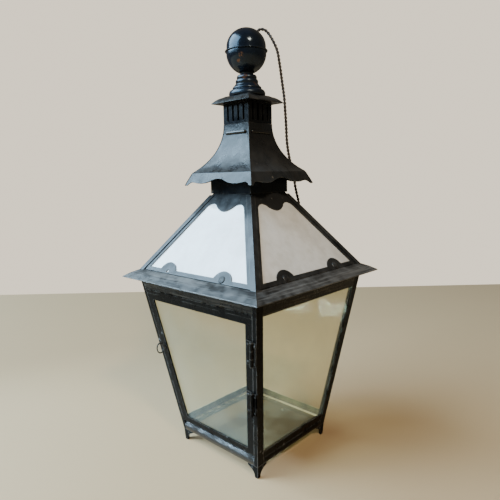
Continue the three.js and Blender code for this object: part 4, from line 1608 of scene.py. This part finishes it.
    def _dent(self, u: float, rise: float, bumps: Sequence[Point]) -> float:
        """Presses dents into the flare.

        Args:
            u: the place across the side, from -1 to 1.
            rise: the place up the flare, as a share of its rise.
            bumps: the dents, each with its place across, its place up and its size.

        Returns:
            How far the sheet is pushed in.
        """
        depth = 0.0
        for centre, level, size in bumps:
            away = ((u - centre) / size) ** 2 + ((rise - level) / (size * 0.5)) ** 2
            depth += self.dent * math.exp(-away * 3)
        edge = min(1.0, (1 - abs(u)) * 6, rise * 8, (1 - rise) * 8)
        return depth * max(0.0, edge)

    def beads(self) -> Piece:
        """Makes the four half-round bars under the vent box.

        Returns:
            The bars.
        """
        face = self.flare_half(self.bead_level) - self.bead_sunk
        end = self.bead_half - self.bead_radius
        stations = [(k / 7 * end, 1.0) for k in range(-6, 7)]
        for angle in (math.pi / 8 * k for k in range(4)):
            reach = end + math.sin(angle) * self.bead_radius
            stations += [(way * reach, math.cos(angle)) for way in (-1, 1)]
        angles = [math.pi * k / self.bead_steps - math.pi / 2 for k in range(self.bead_steps + 1)]
        shape = bmesh.new()
        for side in Side:
            turn = side.turn()
            lines = []
            for y, size in sorted(stations):
                radius = self.bead_radius * size
                outward = [(face + math.cos(a) * radius, math.sin(a) * radius) for a in angles]
                ring = [Vector((x, y, self.bead_level + z)) for x, z in outward]
                lines.append([shape.verts.new(turn @ point) for point in ring])
            for low, high in zip(lines, lines[1:]):
                for i in range(len(low)):
                    j = (i + 1) % len(low)
                    shape.faces.new((low[i], high[i], high[j], low[j]))
            shape.faces.new(lines[0])
            shape.faces.new(list(reversed(lines[-1])))
        mesh = settle(mesh_from("hood_beads", shape, True), 50.0)
        piece = as_object("hood_beads", mesh, self.finishes.rail)
        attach(piece, Body.CASE.value)
        return piece

    def slot_shade_tube(self) -> Piece:
        """Makes a squarish black sheet tube behind the vent's slots, which stands for the shade inside the
        vent so the slots show dark.

        Returns:
            The tube on its four straps.
        """
        low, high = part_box("vent_box")
        foot, head = low.z + self.tube_foot, high.z - self.tube_head
        wall = high.x - self.sheet - self.fit
        outer, inner = self.tube_radius, self.tube_radius - self.tube_wall
        bulge = (outer + self.tube_bulge, head - self.tube_roll)
        outline = [(outer, foot), (outer, head - 2 * self.tube_roll), bulge, (outer, head)]
        outline += [(inner, head), (inner, foot)]
        shape = bmesh.new()
        shape.from_mesh(turned("slot_shade_tube", outline, 64))
        power = self.tube_squareness
        for point in shape.verts:
            reach = math.hypot(point.co.x, point.co.y)
            square = (abs(point.co.x / reach) ** power + abs(point.co.y / reach) ** power) ** (-1 / power)
            point.co.x, point.co.y = point.co.x * square, point.co.y * square
        width, height = self.strap
        size = Matrix.Diagonal((wall - outer + 2 * self.fit, width, height, 1.0))
        at = Matrix.Translation(((wall + outer) / 2, 0, foot + height / 2))
        for side in Side:
            cube = bmesh.ops.create_cube(shape, size=1.0)
            bmesh.ops.transform(shape, matrix=side.turn() @ at @ size, verts=cube["verts"])
        mesh = settle(mesh_from("slot_shade_tube", shape), 40.0)
        piece = as_object("slot_shade_tube", mesh, self.finishes.case)
        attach(piece, Body.CASE.value)
        return piece

    def seams(self, solder: SolderSeams) -> Piece:
        """Runs solder down the bell's four corners.

        Args:
            solder: the tree that makes the seams.

        Returns:
            The seams.
        """
        levels = [(self.valance_half, self.valance_bottom), *(self.flare(row / 24) for row in range(25))]
        lines = [[side.turn() @ Vector((half, half, z)) for half, z in levels] for side in Side]
        return solder.run("bell_seams", lines, self.finishes.hood)


@dataclass
class Finial(Part):
    """The turned base and the hollow ball on top, with the band between its shells."""

    bore: float = 0.0053
    sheet: float = 0.0015
    depth: float = 0.0374
    seat: tuple[float, float] = (0.0120, 0.0124)  # the flat under the ball and where its curve starts
    lap: float = 0.0015
    band_bore: float = 0.0343
    band_round: float = 0.0014
    spacing: float = 0.0007
    rings: tuple[tuple[tuple[float, float], ...], ...] = (
        ((0.033, 0), (0.034, 0.0026), (0.0335, 0.006), (0.0314, 0.0092), (0.0266, 0.0117)),
        ((0.0264, 0.0121), (0.027, 0.0132), (0.0264, 0.0152), (0.0234, 0.018), (0.022, 0.0204)),
        ((0.0201, 0.0212), (0.021, 0.0238), (0.021, 0.026), (0.02, 0.0284), (0.0176, 0.0298)),
        ((0.0178, 0.0302), (0.0187, 0.032), (0.0184, 0.0342), (0.0168, 0.0366), (0.013, 0.0378)),
        ((0.0128, 0.0381), (0.0124, 0.0391)),
    )

    def dress(self) -> None:
        """Gives the finial's nodes their finishes."""
        dress(self.finishes.turned, "finial_base")
        dress(self.finishes.ball, "ball_lower", "ball_band", "ball_upper")

    def pedestal(self) -> Piece:
        """Makes the turned base smooth, with its rings and hollows.

        Returns:
            The base.
        """
        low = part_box("finial_base")[0].z
        outline: Profile = [(self.bore, low)]
        for ring in self.rings:
            smooth = curve_through([(r, 0.0, z) for r, z in ring], self.spacing)
            outline += [(p.x, low + p.z) for p in smooth]
        outline.append((self.bore, outline[-1][1]))
        piece = as_object("finial_turning", turned("finial_turning", outline), self.finishes.turned)
        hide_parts("finial_base")
        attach(piece, Body.CASE.value)
        return piece

    def ball(self) -> list[Piece]:
        """Makes the two shells and the band smooth.

        Returns:
            The three pieces.
        """
        return [
            self._shell("ball_lower_shell", self._lower(), "ball_lower"),
            self._shell("ball_rim_band", self._band(), "ball_band"),
            self._shell("ball_upper_shell", self._upper(), "ball_upper"),
        ]

    def _lower(self) -> Profile:
        """Draws the section of the lower shell.

        Returns:
            Its outline.
        """
        low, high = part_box("ball_lower")
        radius, centre = high.x, high.z - self.lap
        flat, curve = self.seat
        start = -math.acos(curve / radius)
        outer = self._arc(radius, self.depth, centre, start, 0.0)
        inner = self._arc(radius - self.sheet, self.depth - self.sheet, centre, 0.0, start * 0.98)
        foot = [(self.bore, low.z), (flat, low.z)]
        rim = [(radius, high.z), (radius - self.sheet, high.z)]
        return [*foot, *outer, *rim, *inner, (self.bore, low.z + self.sheet)]

    def _band(self) -> Profile:
        """Draws the section of the band.

        Returns:
            Its outline.
        """
        low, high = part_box("ball_band")
        middle, half = (low.z + high.z) / 2, (high.z - low.z) / 2
        section = self._arc(self.band_round, half, middle, -math.pi / 2, math.pi / 2, 12)
        rounded = [(high.x - self.band_round + x, z) for x, z in section]
        return [(self.band_bore, low.z), *rounded, (self.band_bore, high.z)]

    def _upper(self) -> Profile:
        """Draws the section of the upper shell.

        Returns:
            Its outline.
        """
        radius, rim, rise = upper_shell()
        top = math.pi / 2 * 0.999  # just short of the axis
        outer = self._arc(radius, rise, rim, 0.0, top)
        inner = self._arc(radius - self.sheet, rise - self.sheet, rim, top, 0.0)
        return [(radius, rim - RIM_LAP), *outer, *inner, (radius - self.sheet, rim - RIM_LAP)]

    @staticmethod
    def _arc(radius: float, rise: float, centre: float, start: float, end: float, steps: int = 24) -> Profile:
        """Returns points along part of an ellipse about the upright axis."""
        angles = [start + (end - start) * k / steps for k in range(steps + 1)]
        return [(math.cos(a) * radius, centre + math.sin(a) * rise) for a in angles]

    def _shell(self, name: str, outline: Profile, node: str) -> Piece:
        """Turns a piece of the ball, in place of a node.

        Args:
            name: its name.
            outline: its section.
            node: the node that it replaces.

        Returns:
            The piece.
        """
        piece = as_object(name, turned(name, outline, 96), self.finishes.ball)
        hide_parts(node)
        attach(piece, Body.CASE.value)
        return piece


class Fittings(Part):
    """The stem, its nuts, the bridge bar, the lampholder and the grommet."""

    def dress(self) -> None:
        """Gives the fittings' nodes their finishes."""
        dress(self.finishes.brass, "stem", "stem_nut_upper", "stem_nut_lower")
        dress(self.finishes.plated, "bridge_bar")
        dress(self.finishes.resin, "lampholder", "lampholder_ring", "inner_flex", "flex")
        dress(self.finishes.rubber, "flex_grommet")


@dataclass
class Flex(Part):
    """Two braided cores twisted together, trailing from the ball down behind the lantern."""

    diameter: float = 0.006
    core_radius: float = 0.00158
    twist: float = 0.0135
    wire_radius: float = 0.0007
    wire_length: float = 0.007
    ring: float = 0.0225
    angle: float = math.radians(80.2)
    start: float = 0.0045
    lead: float = 0.0015
    spacing: float = 0.0014
    route: tuple[Point, ...] = (
        (0.005, 0.028, 0.8015), (0.0072, 0.0339, 0.8044), (0.0109, 0.0397, 0.8037),
        (0.0156, 0.0445, 0.7979), (0.0243, 0.0476, 0.7833), (0.031, 0.0515, 0.7653),
        (0.0356, 0.0524, 0.7421), (0.0411, 0.0526, 0.7083),
        (0.0454, 0.0534, 0.6774), (0.0473, 0.0536, 0.6518), (0.0488, 0.054, 0.626),
        (0.0496, 0.0546, 0.6001), (0.05, 0.0586, 0.576), (0.047, 0.0682, 0.5585),
        (0.041, 0.0816, 0.5456), (0.038, 0.0906, 0.531), (0.038, 0.0936, 0.516),
        (0.041, 0.0946, 0.5), (0.045, 0.0954, 0.484), (0.0466, 0.096, 0.468),
        (0.043, 0.0986, 0.453), (0.034, 0.1048, 0.4385), (0.016, 0.1128, 0.4245),
        (-0.012, 0.1216, 0.411), (-0.045, 0.1314, 0.3974), (-0.08, 0.1404, 0.385),
        (-0.112, 0.1496, 0.3745), (-0.136, 0.1615, 0.365), (-0.151, 0.1752, 0.3566),
        (-0.1605, 0.185, 0.3436), (-0.1646, 0.187, 0.322), (-0.165, 0.1868, 0.26),
        (-0.165, 0.1866, 0.06), (-0.166, 0.188, 0.026), (-0.172, 0.194, 0.0095),
        (-0.184, 0.206, 0.0038), (-0.206, 0.23, 0.0035), (-0.228, 0.254, 0.0035),
    )

    def centre_line(self) -> list[Vector]:
        """Runs the flex's middle line from the grommet to its end.

        Returns:
            Its points.
        """
        radius, rim, rise = upper_shell()
        lift = rise * math.sqrt(1 - (self.ring / radius) ** 2)
        tilt = math.atan2(self.ring / radius**2, lift / rise**2)
        points: list[Point] = []
        for away in (self.start, self.start + self.lead):
            out = self.ring + math.sin(tilt) * away
            up = rim + lift + math.cos(tilt) * away
            points.append((out * math.cos(self.angle), out * math.sin(self.angle), up))
        return curve_through([*points, *self.route], self.spacing)

    def build(self) -> Piece:
        """Makes the twisted cores and their bared ends.

        Returns:
            The cores.
        """
        line = self.centre_line()
        reach = distances(line)
        orbit = self.diameter / 2 - self.core_radius
        meshes, wires = [], []
        for core in range(2):
            path = []
            for here, (across, up), far in zip(line, carried_frames(line), reach):
                turn = 2 * math.pi * far / self.twist + core * math.pi
                path.append(here + (across * math.cos(turn) + up * math.sin(turn)) * orbit)
            meshes.append(Strand(self.core_radius).build(f"flex_core_{core}", path))
            run = (path[-1] - path[-3]).normalized()
            steps = [path[-1] + run * self.wire_length * k / 4 for k in range(-1, 5)]
            wires.append(Strand(self.wire_radius).build("flex_wire", steps))
        piece = as_object("flex_twist", self._joined("flex_twist", meshes), self.finishes.braid)
        bare = as_object("flex_bare_wires", self._joined("flex_bare_wires", wires), self.finishes.copper)
        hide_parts("flex")
        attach(piece, Body.CASE.value)
        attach(bare, Body.CASE.value)
        LOG.info("flex is %.3f m long", reach[-1])
        return piece

    @staticmethod
    def _joined(name: str, meshes: Sequence[Mesh]) -> Mesh:
        """Joins meshes, with their UV maps.

        Args:
            name: the mesh's name.
            meshes: what it joins.

        Returns:
            The one mesh.
        """
        shape = bmesh.new()
        for mesh in meshes:
            shape.from_mesh(mesh)
        return mesh_from(name, shape)


# The studio


@dataclass
class Studio:
    """The camera, the pale floor and the soft light."""

    eye: Point = (0.62187, -0.66018, 0.53039)
    forward: Point = (-0.67861, 0.71875, -0.15129)
    right: Point = (0.7292, 0.68397, -0.02142)
    up: Point = (-0.08808, 0.12486, 0.98826)
    lens: float = 33.76
    sensor: float = 36.0
    floor_far: float = 1.3
    floor_near: float = 3.0
    floor_half: float = 4.0
    wall: Color = (1.0, 0.885, 0.7)
    wall_shown: float = 1.3
    wall_glow: float = 0.17

    def camera(self) -> Piece:
        """Sets the camera where the photograph was taken from.

        Returns:
            The camera.
        """
        data = bpy.data.cameras.new("camera")
        data.lens, data.sensor_width = self.lens, self.sensor
        data.clip_start, data.clip_end = 0.01, 30.0
        camera = bpy.data.objects.new("camera", data)
        bpy.context.scene.collection.objects.link(camera)
        turn = Matrix((self.right, self.up, [-c for c in self.forward])).transposed()
        camera.matrix_world = Matrix.Translation(self.eye) @ turn.to_4x4()
        bpy.context.scene.camera = camera
        return camera

    def floor(self) -> Piece:
        """Lays the pale floor, square to the view.

        Returns:
            The floor.
        """
        ahead = Vector((self.forward[0], self.forward[1], 0)).normalized()
        aside = Vector((ahead.y, -ahead.x, 0))
        near, far = ahead * -self.floor_near, ahead * self.floor_far
        half = aside * self.floor_half
        corners = [near - half, near + half, far + half, far - half]
        mesh = mesh_of("floor", corners, [(0, 1, 2, 3)])
        floor = as_object("floor", mesh, PlainFloor("pale_floor").material())
        return floor

    def light(
        self, name: str, place: Point, aim: Point, size: tuple[float, float], power: float, color: Color,
        spread: float = 180.0
    ) -> None:
        """Hangs one soft oblong light.

        Args:
            name: the light's name.
            place: where it hangs.
            aim: the point that it faces.
            size: its width and height.
            power: its strength in watts.
            color: its colour.
            spread: the angle of its beam, in degrees.
        """
        data = bpy.data.lights.new(name, "AREA")
        data.spread = math.radians(spread)
        data.shape, data.energy, data.color = "RECTANGLE", power, color
        data.size, data.size_y = size
        lamp = bpy.data.objects.new(name, data)
        bpy.context.scene.collection.objects.link(lamp)
        lamp.visible_camera = False
        lamp.location = place
        lamp.rotation_mode = "QUATERNION"
        lamp.rotation_quaternion = (Vector(aim) - Vector(place)).to_track_quat("-Z", "Y")

    def lights(self) -> None:
        """Hangs the lights and sets the pale surroundings."""
        daylight = (0.52, 0.77, 1.0)
        self.light("window", (-2.25, -2.68, 3.06), (0, 0, 0.6), (4.9, 3.38), 860.0, daylight)
        self.light("low_pane", (-0.756, -0.982, 0.25), (0, -0.115, 0.038), (0.9, 0.08), 4.2, daylight, 40.0)
        self.light("lamp", (1.73, -0.79, 2.11), (0, 0, 0.5), (0.28, 0.28), 40.0, (1.0, 0.84, 0.64))
        world = bpy.data.worlds.new("studio")
        bpy.context.scene.world = world
        world.use_nodes = True
        graph = Graph(world.node_tree)
        shown, glow = (
            graph.out("ShaderNodeBackground", {}, {"Color": (*self.wall, 1.0), "Strength": strength})
            for strength in (self.wall_shown, self.wall_glow)
        )
        seen = graph.out("ShaderNodeLightPath", {}, {}, "Is Camera Ray")
        mixed = graph.out("ShaderNodeMixShader", {}, {0: seen, 1: glow, 2: shown})
        graph.node("ShaderNodeOutputWorld", {}, {"Surface": mixed})


# The scene in order


def main() -> None:
    """Builds the scene in order."""
    logging.basicConfig(level=logging.INFO, format="%(name)s: %(message)s")
    studio = Studio()
    studio.camera()
    finishes = Finishes()
    flex = Flex(finishes).build()
    studio.floor()
    studio.lights()
    heads, solder = ScrewHeads(), SolderSeams()
    case, roof = Case(finishes), Roof(finishes)
    door = Door(finishes, case)
    hood, finial = Hood(finishes), Finial(finishes)
    for part in (case, door, roof, hood, finial, Fittings(finishes)):
        part.dress()
        LOG.info("dressed %s", type(part).__name__)
    pieces = [
        flex,
        case.rivets(heads),
        *door.screws(heads),
        roof.buttons(heads),
        roof.rivets(heads),
        *roof.trim(solder),
        hood.bell(),
        hood.beads(),
        hood.seams(solder),
        hood.slot_shade_tube(),
        finial.pedestal(),
        *finial.ball(),
    ]
    for piece in pieces:
        LOG.info("made %s, %d faces", piece.name, len(piece.data.polygons))


if __name__ == "__main__":
    main()
